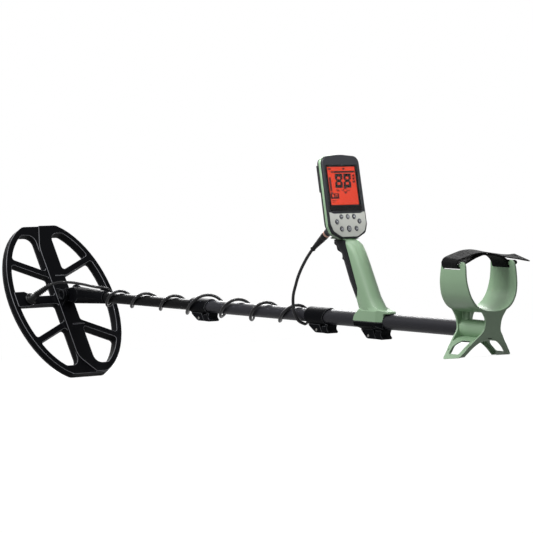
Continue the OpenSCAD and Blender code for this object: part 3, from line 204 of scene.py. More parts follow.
# ----------------------------------------------------------------
# Coil: two halves of glass-filled nylon, moulded in one shell over two D-shaped windings of
# copper wire and closed with a skid plate. Its rims carry a painted highlight of paler grey.
joints = {joint["name"]: joint for joint in frame["joints"]}
slots = {part["node"]: part["material_slot"] for part in frame["record"]["subparts"]}


def axes(origin, x, y):
    """The place of a frame whose lengths are in mm, from its origin and its X and Y directions."""
    x, y = Vector(x).normalized(), Vector(y).normalized()
    turn = Matrix((x, y, x.cross(y))).transposed().to_4x4()
    return Matrix.Translation(Vector(origin)) @ turn @ Matrix.Scale(0.001, 4)


# The shaft's frame starts at the coil's hinge, with X up the shaft to the user and Y to the right. The
# coil's frame is turned from it by the angle between them, and starts a hinge's height below it.
SHAFT = axes(joints["coil_tilt"]["pos_m"], joints["middle_slide"]["axis"], (0, 1, 0))
coil_angle = math.radians(58.5)
hinge_h = 17.6
COIL = SHAFT @ Matrix.Rotation(coil_angle, 4, "Y") @ Matrix.Translation((0, 0, -hinge_h))


def level(place, axis, at):
    """The plane across one axis of a frame, at a place on it in mm, as point and normal."""
    spot = Vector((0, 0, 0))
    spot[axis] = at
    return place @ spot, Vector(place.col[axis][:3]).normalized()


def piece(name, mesh, material, body, slot, *nodes):
    """A finished mesh put in the scene on its body, in the place of the CAD nodes that it stands for."""
    if not mesh.materials:
        mesh.materials.append(material)
    made = bpy.data.objects.new(name, mesh)
    scene.collection.objects.link(made)
    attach(made, body)
    if nodes:
        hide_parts(*nodes)
    return made


def moulded(node, radius, material, highlight_and_wear=0.3, cuts=()):
    """A CAD node as it leaves its mould: its flats joined, its sharp edges rounded to a radius in mm and
    given a painted highlight of paler colour, of the given strength, on the rounded faces. At a strength of 1
    the inner corners stay sharp, and only proud edges carry it. Cuts are planes, as point and normal, that
    split a pierced flat through its holes, which no one face can hold."""
    form = bmesh.new()
    form.from_mesh(frame["nodes"][node].data)
    weld, on_plane, by_plane = 2e-6, 1e-6, 3e-6
    bmesh.ops.remove_doubles(form, verts=form.verts, dist=weld)
    for point, normal in cuts:
        everything = form.verts[:] + form.edges[:] + form.faces[:]
        bmesh.ops.bisect_plane(form, geom=everything, dist=on_plane, plane_co=point, plane_no=normal)
    joined = [edge for edge in form.edges
              if not any(all(abs((v.co - point).dot(normal)) < by_plane for v in edge.verts)
                         for point, normal in cuts)]
    flat_angle, sharp_angle = math.radians(1), math.radians(30)
    bmesh.ops.dissolve_limit(form, angle_limit=flat_angle, verts=form.verts, edges=joined)
    sharp = [edge for edge in form.edges if len(edge.link_faces) == 2
             and edge.calc_face_angle(0) > sharp_angle and (highlight_and_wear < 1 or edge.is_convex)]
    # The rounded faces carry the strength of the painted rim highlight
    rim_highlight = form.faces.layers.float.new("rim_highlight")
    rounded = bmesh.ops.bevel(form, geom=sharp, offset=radius / 1000, offset_type="OFFSET", segments=2,
                              profile=0.5, affect="EDGES", clamp_overlap=False)
    for face in rounded["faces"]:
        face[rim_highlight] = highlight_and_wear
    for face in form.faces:
        face.smooth = True
    mesh = bpy.data.meshes.new(node + "_moulding")
    form.to_mesh(mesh)
    form.free()
    made = piece(mesh.name, mesh, material, body_of(frame["nodes"][node])[0], slots[node], node)
    shade = made.modifiers.new("shading", "WEIGHTED_NORMAL")
    shade.weight = 100
    return made


def dress(material, *nodes):
    """Give their real finish to CAD nodes whose shape is right."""
    for node in nodes:
        data = frame["nodes"][node].data
        data.materials.clear()
        data.materials.append(material)


# Glass-filled nylon, injection moulded in a spark-eroded tool: near black, matt, with a fine even grain; its
# rounded rims carry a painted highlight of pale grey, stronger in patches. The real grain is 0.15 mm; it is
# drawn at 0.5 mm.
nylon, nt, place = blank("spark-eroded black nylon")
grain = add(nt, "ShaderNodeTexNoise", Vector=place, Scale=2000.0, Detail=2.0)
cloud = add(nt, "ShaderNodeTexNoise", Vector=place, Scale=28.0, Detail=4.0)
rim_highlight = add(nt, "ShaderNodeAttribute", {"attribute_name": "rim_highlight"})
patch = add(nt, "ShaderNodeMapRange", Value=cloud, From_Min=0.35, From_Max=0.65, To_Min=0.55, To_Max=0.95)
painted_rim_highlight = add(nt, "ShaderNodeMath", {"operation": "MULTIPLY"}, i0=rim_highlight.outputs["Fac"], i1=patch)
tone = add(nt, "ShaderNodeMix", as_colours, i0=cloud, i6=srgb("#060608"), i7=srgb("#0C0D10"))
# Painted highlight: the rounded rims mixed towards pale grey, in patches
highlight_and_wear_mix = add(nt, "ShaderNodeMix", as_colours, i0=painted_rim_highlight, i6=tone.outputs[2], i7=srgb("#8E8F94"))
gloss = add(nt, "ShaderNodeMapRange", Value=cloud, From_Min=0.3, From_Max=0.7, To_Min=0.44, To_Max=0.56)
relief = add(nt, "ShaderNodeBump", Strength=0.18, Distance=0.0001, Height=grain)
skin = add(nt, "ShaderNodeBsdfPrincipled", Base_Color=highlight_and_wear_mix.outputs[2], Roughness=gloss, IOR=1.53,
           Specular_IOR_Level=0.02, Normal=relief)
add(nt, "ShaderNodeOutputMaterial", Surface=skin)

# ABS skid plate, moulded matt and scuffed lengthwise by grit: fine pale scratches about 0.6 mm apart, and a
# painted highlight of paler grey on its rounded rims
skid, nt, place = blank("scuffed black ABS")
along = add(nt, "ShaderNodeMapping", Vector=place, Scale=(60.0, 1600.0, 60.0), Rotation=(0.0, 0.0, 0.12))
scratch = add(nt, "ShaderNodeTexNoise", Vector=along, Scale=1.0, Detail=3.0)
fleck = add(nt, "ShaderNodeMapRange", Value=scratch, From_Min=0.62, From_Max=0.72)
rim_highlight = add(nt, "ShaderNodeAttribute", {"attribute_name": "rim_highlight"})
# Real scratches plus half the painted rim highlight
highlight_and_wear = add(nt, "ShaderNodeMath", {"operation": "MULTIPLY_ADD", "use_clamp": True},
           i0=rim_highlight.outputs["Fac"], i1=0.5, i2=fleck)
tone = add(nt, "ShaderNodeMix", as_colours, i0=highlight_and_wear, i6=srgb("#0B0B0D"), i7=srgb("#3A3B3F"))
relief = add(nt, "ShaderNodeBump", Strength=0.25, Distance=0.0001, Height=scratch)
skin = add(nt, "ShaderNodeBsdfPrincipled", Base_Color=tone.outputs[2], Roughness=0.55, IOR=1.53,
           Specular_IOR_Level=0.2, Normal=relief)
add(nt, "ShaderNodeOutputMaterial", Surface=skin)

# Enamelled copper wire of 0.6 mm, wound in layers, with a clear red-brown lacquer; drawn at twice its size
winding, nt, place = blank("enamelled copper wire")
wire = add(nt, "ShaderNodeTexWave", {"bands_direction": "Z"}, Vector=place, Scale=265.0, Distortion=0.6)
tone = add(nt, "ShaderNodeMix", as_colours, i0=wire.outputs[1], i6=srgb("#7A3F1E"), i7=srgb("#C77B45"))
relief = add(nt, "ShaderNodeBump", Strength=0.6, Distance=0.0003, Height=wire.outputs[1])
skin = add(nt, "ShaderNodeBsdfPrincipled", Base_Color=tone.outputs[2], Metallic=0.9, Roughness=0.32,
           Coat_Weight=0.4, Normal=relief)
add(nt, "ShaderNodeOutputMaterial", Surface=skin)

window_cuts = [level(COIL, 0, x) for x in range(-130, 131, 26)]
window_cuts += [level(COIL, 1, y) for y in range(-90, 91, 30)]
housing = moulded("coil_housing", 0.75, nylon, 1.0, cuts=window_cuts)
# The small steps of the ears, in the middle, and of the lead block, to their left, keep only a faint painted
# rim highlight
above, ears_x, ears_y, lead_block_x, lead_block_y, faint_highlight = 5, 26, 24, 16, -58, 0.15
for face, rim_highlight_weight in zip(housing.data.polygons, housing.data.attributes["rim_highlight"].data):
    spot = COIL.inverted() @ face.center
    on_ears = abs(spot.x) < ears_x and abs(spot.y) < ears_y
    on_lead_block = abs(spot.x) < lead_block_x and spot.y < lead_block_y
    if spot.z > above and (on_ears or on_lead_block):
        rim_highlight_weight.value *= faint_highlight
moulded("coil_skid_plate", 0.7, skid, cuts=window_cuts)
dress(winding, "transmit_winding", "receive_winding")

# ----------------------------------------------------------------
# Hinge: a nylon bolt and hex nut clamp the shaft's tongue between the coil's ears, with two
# rubber washers that give the friction. The tongue is the end of the shaft's moulded tip.
moulded("hinge_bolt", 0.5, nylon)
moulded("hinge_nut", 0.5, nylon)
moulded("shaft_tip", 0.3, nylon)

# EPDM and PVC rubber, moulded or extruded: dead black, satin, with a faint bloom of dust in patches
rubber, nt, place = blank("satin black rubber")
grain = add(nt, "ShaderNodeTexNoise", Vector=place, Scale=1500.0, Detail=2.0)
bloom = add(nt, "ShaderNodeTexNoise", Vector=place, Scale=40.0, Detail=3.0)
tone = add(nt, "ShaderNodeMix", as_colours, i0=bloom, i6=srgb("#070708"), i7=srgb("#0E0F11"))
gloss = add(nt, "ShaderNodeMapRange", Value=bloom, From_Min=0.3, From_Max=0.7, To_Min=0.3, To_Max=0.42)
relief = add(nt, "ShaderNodeBump", Strength=0.15, Distance=0.0001, Height=grain)
skin = add(nt, "ShaderNodeBsdfPrincipled", Base_Color=tone.outputs[2], Roughness=gloss, IOR=1.52,
           Specular_IOR_Level=0.13, Normal=relief)
add(nt, "ShaderNodeOutputMaterial", Surface=skin)
moulded("hinge_washers", 0.2, rubber)

# ----------------------------------------------------------------
# Shaft: three black telescoping tubes. The lowest is a wound and lacquered fibre tube, so that no
# metal comes near the coil; the other two are anodised aluminium, with moulded plugs and rings.

# Glass fibre laid at an angle under a satin black lacquer: faint slanting bands 3 mm wide
fibre, nt, place = blank("lacquered fibre tube")
lay = add(nt, "ShaderNodeMapping", Vector=place, Rotation=(0.0, math.radians(50), 0.0))
band = add(nt, "ShaderNodeTexWave", {"bands_direction": "X"}, Vector=lay, Scale=52.0, Distortion=1.5,
           Detail=2.0)
speck = add(nt, "ShaderNodeTexNoise", Vector=place, Scale=900.0, Detail=2.0)
tone = add(nt, "ShaderNodeMix", as_colours, i0=band.outputs[1], i6=srgb("#040405"), i7=srgb("#0A0A0C"))
relief = add(nt, "ShaderNodeBump", Strength=0.12, Distance=0.0001, Height=speck)
skin = add(nt, "ShaderNodeBsdfPrincipled", Base_Color=tone.outputs[2], Roughness=0.4, IOR=1.5,
           Specular_IOR_Level=0.05, Normal=relief)
add(nt, "ShaderNodeOutputMaterial", Surface=skin)

# Aluminium tube, drawn and then anodised black: a satin charcoal, with draw lines 0.5 mm apart along it
anodised, nt, place = blank("black anodised aluminium")
shaft_rise = math.radians(6.06)
drawn = add(nt, "ShaderNodeMapping", Vector=place, Scale=(12.0, 2000.0, 2000.0),
            Rotation=(0.0, -shaft_rise, 0.0))
line = add(nt, "ShaderNodeTexNoise", Vector=drawn, Scale=1.0, Detail=2.0)
tone = add(nt, "ShaderNodeMix", as_colours, i0=line, i6=srgb("#1F1F23"), i7=srgb("#2B2B30"))
gloss = add(nt, "ShaderNodeMapRange", Value=line, From_Min=0.3, From_Max=0.7, To_Min=0.36, To_Max=0.5)
skin = add(nt, "ShaderNodeBsdfPrincipled", Base_Color=tone.outputs[2], Metallic=0.08, Roughness=gloss,
           Specular_IOR_Level=0.12)
add(nt, "ShaderNodeOutputMaterial", Surface=skin)

moulded("lower_tube", 0.2, fibre)
moulded("middle_tube", 0.2, anodised)
moulded("upper_tube", 0.2, anodised)
moulded("lower_tube_plug", 0.4, nylon)
moulded("middle_tube_ring", 0.3, nylon)
moulded("upper_tube_cap", 0.4, nylon)

# ----------------------------------------------------------------
# Cam locks: a split collar of nylon with two ears, a steel pin through them, and a lever whose
# cam squeezes the collar on the inner tube. A third one closes the grip's clamp.

# Stainless steel, turned and tumbled dull: fine rings and a little smear in the reflection
steel, nt, place = blank("turned stainless steel")
smear = add(nt, "ShaderNodeTexNoise", Vector=place, Scale=700.0, Detail=3.0)
gloss = add(nt, "ShaderNodeMapRange", Value=smear, From_Min=0.3, From_Max=0.7, To_Min=0.34, To_Max=0.5)
skin = add(nt, "ShaderNodeBsdfPrincipled", Base_Color=srgb("#7C7A76"), Metallic=1.0, Roughness=gloss)
add(nt, "ShaderNodeOutputMaterial", Surface=skin)

for lock in ("lower", "upper"):
    moulded(lock + "_cam_collar", 0.7, nylon)
    moulded(lock + "_cam_pin", 0.3, steel)
    moulded(lock + "_cam_lever", 0.6, nylon)
moulded("grip_clamp", 0.6, nylon)
moulded("grip_cam_pin", 0.3, steel)
moulded("grip_cam_lever", 0.6, nylon)
dress(steel, "grip_clamp_screws")

# ----------------------------------------------------------------
# Grip: a hollow nylon moulding in sage green, screwed to its clamp under the tube, with a soft
# overmoulded pad for the fingers in front that has fine slanting ribs.

# Pigmented nylon with a satin spark-eroded skin: soft wide highlights, and a slight drift of tone where
# it flowed
sage, nt, place = blank("sage green nylon")
grain = add(nt, "ShaderNodeTexNoise", Vector=place, Scale=1800.0, Detail=2.0)
drift = add(nt, "ShaderNodeTexNoise", Vector=place, Scale=16.0, Detail=3.0)
rim_highlight = add(nt, "ShaderNodeAttribute", {"attribute_name": "rim_highlight"})
# Painted highlight: the rounded rims mixed a little towards a paler sage
painted_rim_highlight = add(nt, "ShaderNodeMath", {"operation": "MULTIPLY"}, i0=rim_highlight.outputs["Fac"], i1=0.35)
tone = add(nt, "ShaderNodeMix", as_colours, i0=drift, i6=srgb("#86A684"), i7=srgb("#92B08F"))
highlight_and_wear_mix = add(nt, "ShaderNodeMix", as_colours, i0=painted_rim_highlight, i6=tone.outputs[2], i7=srgb("#A9BDA6"))
gloss = add(nt, "ShaderNodeMapRange", Value=drift, From_Min=0.3, From_Max=0.7, To_Min=0.36, To_Max=0.46)
relief = add(nt, "ShaderNodeBump", Strength=0.1, Distance=0.0001, Height=grain)
skin = add(nt, "ShaderNodeBsdfPrincipled", Base_Color=highlight_and_wear_mix.outputs[2], Roughness=gloss, IOR=1.53,
           Normal=relief)
add(nt, "ShaderNodeOutputMaterial", Surface=skin)

# Thermoplastic rubber over the nylon: charcoal, with ribs 3.2 mm apart that slant across the fingers, and
# painted shade that darkens the grooves between them
pad_skin, nt, place = blank("ribbed soft rubber")
slant = add(nt, "ShaderNodeMapping", Vector=place, Rotation=(0.0, math.radians(28), 0.0))
ribs = add(nt, "ShaderNodeTexWave", {"bands_direction": "Z"}, Vector=slant, Scale=98.0)
bloom = add(nt, "ShaderNodeTexNoise", Vector=place, Scale=60.0, Detail=3.0)
# Painted shade: the grooves between the ribs go dark, the crests mottled by a dust bloom
shade = add(nt, "ShaderNodeMath", {"operation": "MULTIPLY"}, i0=ribs.outputs[1], i1=bloom)
tone = add(nt, "ShaderNodeMix", as_colours, i0=shade, i6=srgb("#101013"), i7=srgb("#2B2B30"))
relief = add(nt, "ShaderNodeBump", Strength=0.7, Distance=0.0005, Height=ribs.outputs[1])
skin = add(nt, "ShaderNodeBsdfPrincipled", Base_Color=tone.outputs[2], Roughness=0.6, IOR=1.5,
           Specular_IOR_Level=0.12, Normal=relief)
add(nt, "ShaderNodeOutputMaterial", Surface=skin)

moulded("grip_body", 0.9, sage)
moulded("grip_pad", 0.5, pad_skin)

# ----------------------------------------------------------------
# Control pod: a bezel and a rear cover of black ABS with a sage band between them, held on the
# grip's bracket by two screws. Board, cell and speaker lie inside.

# The pod's frame lies on its face, with X to the right, Y up and Z out to the user
pod_face, pod_lean, quarter = (738.84, 0, 214), math.radians(11.2), math.radians(90)
POD = SHAFT @ Matrix.Translation(pod_face) @ Matrix.Rotation(-pod_lean, 4, "Y") @ \
    Matrix.Rotation(quarter, 4, "Z") @ Matrix.Rotation(quarter, 4, "X")

# Moulded ABS with an etched satin skin: charcoal in the light, with a painted sheen of paler grey on its
# rounded edges
casing, nt, place = blank("satin black ABS")
grain = add(nt, "ShaderNodeTexNoise", Vector=place, Scale=2200.0, Detail=2.0)
hand = add(nt, "ShaderNodeTexNoise", Vector=place, Scale=35.0, Detail=3.0)
rim_highlight = add(nt, "ShaderNodeAttribute", {"attribute_name": "rim_highlight"})
# Painted sheen on the rounded edges, uneven in patches
painted_rim_highlight = add(nt, "ShaderNodeMath", {"operation": "MULTIPLY"}, i0=rim_highlight.outputs["Fac"], i1=hand)
tone = add(nt, "ShaderNodeMix", as_colours, i0=painted_rim_highlight, i6=srgb("#1B1C20"), i7=srgb("#3E3F45"))
gloss = add(nt, "ShaderNodeMapRange", Value=hand, From_Min=0.3, From_Max=0.7, To_Min=0.38, To_Max=0.5)
relief = add(nt, "ShaderNodeBump", Strength=0.12, Distance=0.0001, Height=grain)
skin = add(nt, "ShaderNodeBsdfPrincipled", Base_Color=tone.outputs[2], Roughness=gloss, IOR=1.54,
           Specular_IOR_Level=0.2, Normal=relief)
add(nt, "ShaderNodeOutputMaterial", Surface=skin)

# Epoxy board under green lacquer, with tinned pads 2.5 mm apart
board, nt, place = blank("green soldered board")
pads = add(nt, "ShaderNodeTexVoronoi", Vector=place, Scale=400.0, Randomness=0.2)
dot = add(nt, "ShaderNodeMath", {"operation": "LESS_THAN"}, i0=pads.outputs["Distance"], i1=0.22)
tone = add(nt, "ShaderNodeMix", as_colours, i0=dot, i6=srgb("#1F5A36"), i7=srgb("#B9B9A8"))
skin = add(nt, "ShaderNodeBsdfPrincipled", Base_Color=tone.outputs[2], Roughness=0.35, IOR=1.55)
add(nt, "ShaderNodeOutputMaterial", Surface=skin)

# Printed PVC shrink film over the cell: glossy, with fine creases
wrap, nt, place = blank("blue shrink wrap")
crease = add(nt, "ShaderNodeTexNoise", Vector=place, Scale=260.0, Detail=4.0)
tone = add(nt, "ShaderNodeMix", as_colours, i0=crease, i6=srgb("#3F62A2"), i7=srgb("#5A7FBC"))
relief = add(nt, "ShaderNodeBump", Strength=0.3, Distance=0.0002, Height=crease)
skin = add(nt, "ShaderNodeBsdfPrincipled", Base_Color=tone.outputs[2], Roughness=0.25, IOR=1.53,
           Normal=relief)
add(nt, "ShaderNodeOutputMaterial", Surface=skin)

row_1, row_2, row_3 = -50.7, -58.7, -70.4  # the heights of the three rows of keys on the face
face_cuts = [level(POD, 1, y) for y in (0, row_1, row_2, row_3)]
moulded("pod_bezel", 0.8, casing, cuts=face_cuts)
moulded("pod_band", 0.5, sage)
moulded("pod_back", 1.0, casing)
dress(steel, "pod_screws")
dress(board, "circuit_board")
dress(wrap, "battery_cell")
dress(nylon, "speaker")


def plates(name, outlines, low, high, material, body, slot, *nodes):
    """Flat shapes cut from sheet, outlined in mm, from a low to a high level over the pod's face."""
    form = bmesh.new()
    for outline in outlines:
        area = sum(a[0] * b[1] - b[0] * a[1] for a, b in zip(outline, outline[1:] + outline[:1]))
        ring = outline if area > 0 else outline[::-1]
        lower = [form.verts.new(POD @ Vector((x, y, low))) for x, y in ring]
        upper = [form.verts.new(POD @ Vector((x, y, high))) for x, y in ring]
        form.faces.new(upper)
        form.faces.new(lower[::-1])
        for i in range(len(ring)):
            k = (i + 1) % len(ring)
            form.faces.new((lower[i], lower[k], upper[k], upper[i]))
    mesh = bpy.data.meshes.new(name)
    form.to_mesh(mesh)
    form.free()
    return piece(name, mesh, material, body, slot, *nodes)


def box(x0, y0, x1, y1):
    """An upright rectangle, from two of its corners."""
    return [(x0, y0), (x1, y0), (x1, y1), (x0, y1)]


# The soft cover of the charging socket, pushed into the rear cover's left shoulder
cover_back, cover_front = -19, -11.5
cover = plates("socket_cover", [box(-37.5, -8, -29, 36)], cover_back, cover_front, pad_skin, "grip",
               "pod_black")
soft_corner = cover.modifiers.new("edge", "BEVEL")
soft_corner.width, soft_corner.segments = 0.0015, 3


# ----------------------------------------------------------------
# Screen: a backlit panel behind a clear acrylic window with a black print round its edge. The
# panel's black segments show the target number, a scale, a level bar and small generic marks.
def bar(x0, y0, x1, y1, width):
    """A straight stroke from one point to another."""
    run = Vector((x1 - x0, y1 - y0)).normalized() * width / 2
    side = Vector((-run.y, run.x))
    return [(x0 + side.x, y0 + side.y), (x0 - side.x, y0 - side.y),
            (x1 - side.x, y1 - side.y), (x1 + side.x, y1 + side.y)]


def hoop(x, y, inner, outer, sides, start=0, end=360):
    """An open or closed ring, as one short plate for each side."""
    angles = [math.radians(start + (end - start) * i / sides) for i in range(sides + 1)]
    spot = lambda r, a: (x + r * math.cos(a), y + r * math.sin(a))
    return [[spot(inner, a), spot(outer, a), spot(outer, b), spot(inner, b)]
            for a, b in zip(angles, angles[1:])]


def numeral(x0, y0, x1, y1, w):
    """The seven segments, w wide, of one leaning numeral, with mitred ends and hair-thin gaps."""
    gap, lean, mid, h = 0.03, 0.1, (y0 + y1) / 2, w / 2
    shapes = [[(x0 + gap, y), (x1 - gap, y), (x1 - w - gap, y + up * w), (x0 + w + gap, y + up * w)]
              for y, up in ((y1, -1), (y0, 1))]
    shapes.append([(x0 + gap + h, mid), (x0 + w + gap, mid + h), (x1 - w - gap, mid + h), (x1 - gap - h, mid),
                   (x1 - w - gap, mid - h), (x0 + w + gap, mid - h)])
    sides = ((x0, x0 + w), (x1, x1 - w))
    shapes += [[(x, y0 + gap), (x, mid - gap - h), (inner, mid - gap), (inner, y0 + gap + w)]
               for x, inner in sides]
    shapes += [[(x, mid + gap + h), (x, y1 - gap), (inner, y1 - gap - w), (inner, mid + gap)]
               for x, inner in sides]
    return [[(x - (y1 - y) * lean, y) for x, y in shape] for shape in shapes]


window_low, window_high, window_half = -41.5, 34.0, 35.7
lit_half_w, lit_half_h = 30.0, 31.0
# Heights over the pod's face, which is 0: the lit panel, its black segments, and the print under the window
panel_back, panel_face, segment_face = -4.0, -2.1, -1.95
print_back, print_face = -1.72, -1.6

# Liquid crystal over a red-orange diffuser, lit from both sides and a little uneven
lit, nt, place = blank("backlit red panel")
spread = add(nt, "ShaderNodeTexNoise", Vector=place, Scale=22.0, Detail=1.0)
light = add(nt, "ShaderNodeMix", as_colours, i0=spread, i6=srgb("#CB3016"), i7=srgb("#E53F1F"))
skin = add(nt, "ShaderNodeBsdfPrincipled", Base_Color=srgb("#2A0703"), Roughness=0.5, Specular_IOR_Level=0.1,
           Emission_Color=light.outputs[2], Emission_Strength=1.0)
add(nt, "ShaderNodeOutputMaterial", Surface=skin)
lit.cycles.emission_sampling = "NONE"

# Screen-printed black, matt, with pinholes too fine to see that only break its sheen
ink, nt, place = blank("black printed ink")
pinhole = add(nt, "ShaderNodeTexNoise", Vector=place, Scale=3000.0, Detail=1.0)
tone = add(nt, "ShaderNodeMix", as_colours, i0=pinhole, i6=srgb("#060607"), i7=srgb("#0C0C0E"))
skin = add(nt, "ShaderNodeBsdfPrincipled", Base_Color=tone.outputs[2], Roughness=0.6, Specular_IOR_Level=0.1)
add(nt, "ShaderNodeOutputMaterial", Surface=skin)

# Cast acrylic with a hard anti-glare coat, faintly smeared; the coat leaves it the weak reflection of a
# much lower index than its own
acrylic, nt, place = blank("clear acrylic")
touch = add(nt, "ShaderNodeTexNoise", Vector=place, Scale=90.0, Detail=4.0)
gloss = add(nt, "ShaderNodeMapRange", Value=touch, From_Min=0.5, From_Max=0.7, To_Min=0.0, To_Max=0.02)
skin = add(nt, "ShaderNodeBsdfPrincipled", Base_Color=srgb("#FFFFFF"), Roughness=gloss, IOR=1.2,
           Transmission_Weight=1.0)
add(nt, "ShaderNodeOutputMaterial", Surface=skin)

moulded("screen_window", 0.3, acrylic)
plates("screen_glow", [box(-lit_half_w, -lit_half_h, lit_half_w, lit_half_h)], panel_back, panel_face, lit,
       "grip", "lit_screen", "screen_panel")
print_half, print_low, print_high = window_half - 1.4, window_low + 0.4, window_high - 0.4
plates("window_print", [
    box(-print_half, print_low, print_half, -lit_half_h),
    box(-print_half, lit_half_h, print_half, print_high),
    box(-print_half, -lit_half_h, -lit_half_w, lit_half_h),
    box(lit_half_w, -lit_half_h, print_half, lit_half_h)], print_back, print_face, ink, "grip", "pod_black")

# The target number, with the long scale over it and two small blocks above that
marks = numeral(-14.4, -3.4, 1.8, 19.8, 5.0) + numeral(4.0, -3.4, 20.2, 19.8, 5.0)
marks += [box(-17, 21.2, 29, 24.2), box(-22, 21.2, -18.2, 24.2), box(-28.4, 26.4, -22, 29),
          box(3.6, 26.2, 8, 29.2)]
# The level bar of seven steps on the left, and an arrowhead and a block of cells under it
level_step = 3.2
marks += [box(-28.6, 14.0 - level_step * i, -24.2, 11.2 - level_step * i) for i in range(7)]
marks += [bar(-28.2, -9.4, -25.7, -12.2, 1.5), bar(-25.7, -12.2, -23.2, -9.4, 1.5)]
marks += [box(-29.2, -21, -11, -18.4), box(-29.2, -18.4, -25.8, -13.4), box(-21.8, -18.4, -19.2, -13.4),
          box(-29.2, -13.6, -11, -12.2), box(-17.6, -18.4, -15, -15), box(-13.8, -18.4, -11, -13.6)]
# A short wave, and a ring in two halves with a stroke on each side and an arrowhead above and below
marks += [bar(-15.0, -5.8, -12.8, -8.8, 1.4), bar(-12.8, -8.8, -10.8, -6.4, 1.4),
          bar(-10.8, -6.4, -9.2, -8.8, 1.4)]
marks += hoop(4.2, -7.4, 2.6, 4.0, 12, 200, 340) + hoop(4.2, -7.4, 2.6, 4.0, 12, 20, 160)
marks += [bar(-3.8, -7.4, 0.6, -7.4, 1.3), bar(7.8, -7.4, 13.8, -8.2, 1.3), bar(2.2, -3.6, 4.2, -2.0, 1.3),
          bar(4.2, -2.0, 6.2, -3.6, 1.3), bar(2.2, -11.2, 4.2, -12.8, 1.3), bar(4.2, -12.8, 6.2, -11.2, 1.3)]
# Three ticks down the right side, and two thin lines at the lower left
for y in (17.6, 12.6, 7.6):
    marks += [bar(22.8, y, 25.0, y - 2.8, 2.2), bar(25.0, y - 2.8, 27.4, y + 0.6, 2.2)]
marks += [box(-27.4, -24.2, -18, -23.4), box(-27.4, -26.6, -20, -25.8)]
plates("screen_segments", marks, panel_face, segment_face, ink, "grip", "pod_black")

# ----------------------------------------------------------------
# Keypad: a grey polycarbonate plate let into the bezel, with eight rubber keys. Each key carries
# a pale printed ring and a plain sign, such as plus, minus or an arrow, inside a dark printed ring.

# Textured polycarbonate in a warm light grey: even, satin, with a fine 0.3 mm sparkle of its grain
keypad, nt, place = blank("grey polycarbonate")
grain = add(nt, "ShaderNodeTexNoise", Vector=place, Scale=3000.0, Detail=2.0)
hand = add(nt, "ShaderNodeTexNoise", Vector=place, Scale=45.0, Detail=2.0)
tone = add(nt, "ShaderNodeMix", as_colours, i0=hand, i6=srgb("#B2B4AE"), i7=srgb("#BEC0BA"))
relief = add(nt, "ShaderNodeBump", Strength=0.12, Distance=0.0001, Height=grain)
skin = add(nt, "ShaderNodeBsdfPrincipled", Base_Color=tone.outputs[2], Roughness=0.42, IOR=1.58,
           Normal=relief)
add(nt, "ShaderNodeOutputMaterial", Surface=skin)

# Silicone keys in dark slate: soft sheen, slightly dusty
key_rubber, nt, place = blank("slate silicone")
dust = add(nt, "ShaderNodeTexNoise", Vector=place, Scale=500.0, Detail=3.0)
tone = add(nt, "ShaderNodeMix", as_colours, i0=dust, i6=srgb("#2A2B31"), i7=srgb("#3A3B42"))
skin = add(nt, "ShaderNodeBsdfPrincipled", Base_Color=tone.outputs[2], Roughness=0.5, IOR=1.41,
           Specular_IOR_Level=0.4)
add(nt, "ShaderNodeOutputMaterial", Surface=skin)

# Pad-printed pale grey ink, slightly uneven in its cover
legend, nt, place = blank("pale printed sign")
patchy = add(nt, "ShaderNodeTexNoise", Vector=place, Scale=1200.0, Detail=2.0)
tone = add(nt, "ShaderNodeMix", as_colours, i0=patchy, i6=srgb("#A6A8AC"), i7=srgb("#C8CACE"))
skin = add(nt, "ShaderNodeBsdfPrincipled", Base_Color=tone.outputs[2], Roughness=0.55)
add(nt, "ShaderNodeOutputMaterial", Surface=skin)

moulded("keypad_plate", 0.3, keypad, cuts=face_cuts[1:])
# Each key's middle, its radius, and the strokes of its sign
signs = {
    "upper_left": (-13.7, row_1, 3.8, [bar(-1.8, 0, 1.8, 0, 0.9)]),
    "upper_middle": (0, row_1, 3.8, hoop(0, 0, 0.9, 1.6, 12)),
    "upper_right": (13.7, row_1, 3.8, [
        bar(-1.8, 0, 1.8, 0, 0.9), bar(0, -1.8, 0, -0.45, 0.9), bar(0, 0.45, 0, 1.8, 0.9)]),
    "side_left": (-24.4, row_2, 3.8, [[(-1.9, 0), (1.2, 1.7), (1.2, -1.7)]]),
    "side_right": (24.4, row_2, 3.8, [[(1.9, 0), (-1.2, 1.7), (-1.2, -1.7)]]),
    "lower_left": (-16.1, row_3, 3.8, [
        box(-1.9, -1.6, -1.0, 0.2), box(-0.5, -1.6, 0.4, 1.0), box(0.9, -1.6, 1.8, 1.8)]),
    "main": (0, row_3, 4.8, hoop(0, 0, 1.7, 2.5, 18, 130, 410) + [bar(0, 0.2, 0, 2.8, 0.8)]),
    "lower_right": (16.1, row_3, 3.8, [
        bar(-2.0, -1.0, -0.6, 1.0, 0.8), bar(-0.6, 1.0, 0.6, -1.0, 0.8), bar(0.6, -1.0, 2.0, 1.0, 0.8)])}
# Heights over the pod's face of the rings printed round the keys, and of the signs printed on the keys' tops
ring_low, ring_high, sign_low, sign_high = 0.01, 0.12, 1.55, 1.66
for key, (x, y, radius, sign) in signs.items():
    printed_ring = hoop(x, y, radius + 0.25, radius + 0.95, 24)
    plates("ring_" + key, printed_ring, ring_low, ring_high, ink, "grip", "pod_black")
    moulded("button_" + key, 0.35, key_rubber)
    pale_ring = hoop(x, y, radius - 1.0, radius - 0.65, 24)
    shapes = [[(x + px, y + py) for px, py in shape] for shape in sign] + pale_ring
    plates("sign_" + key, shapes, sign_low, sign_high, legend, "key_" + key, "keypad_grey")


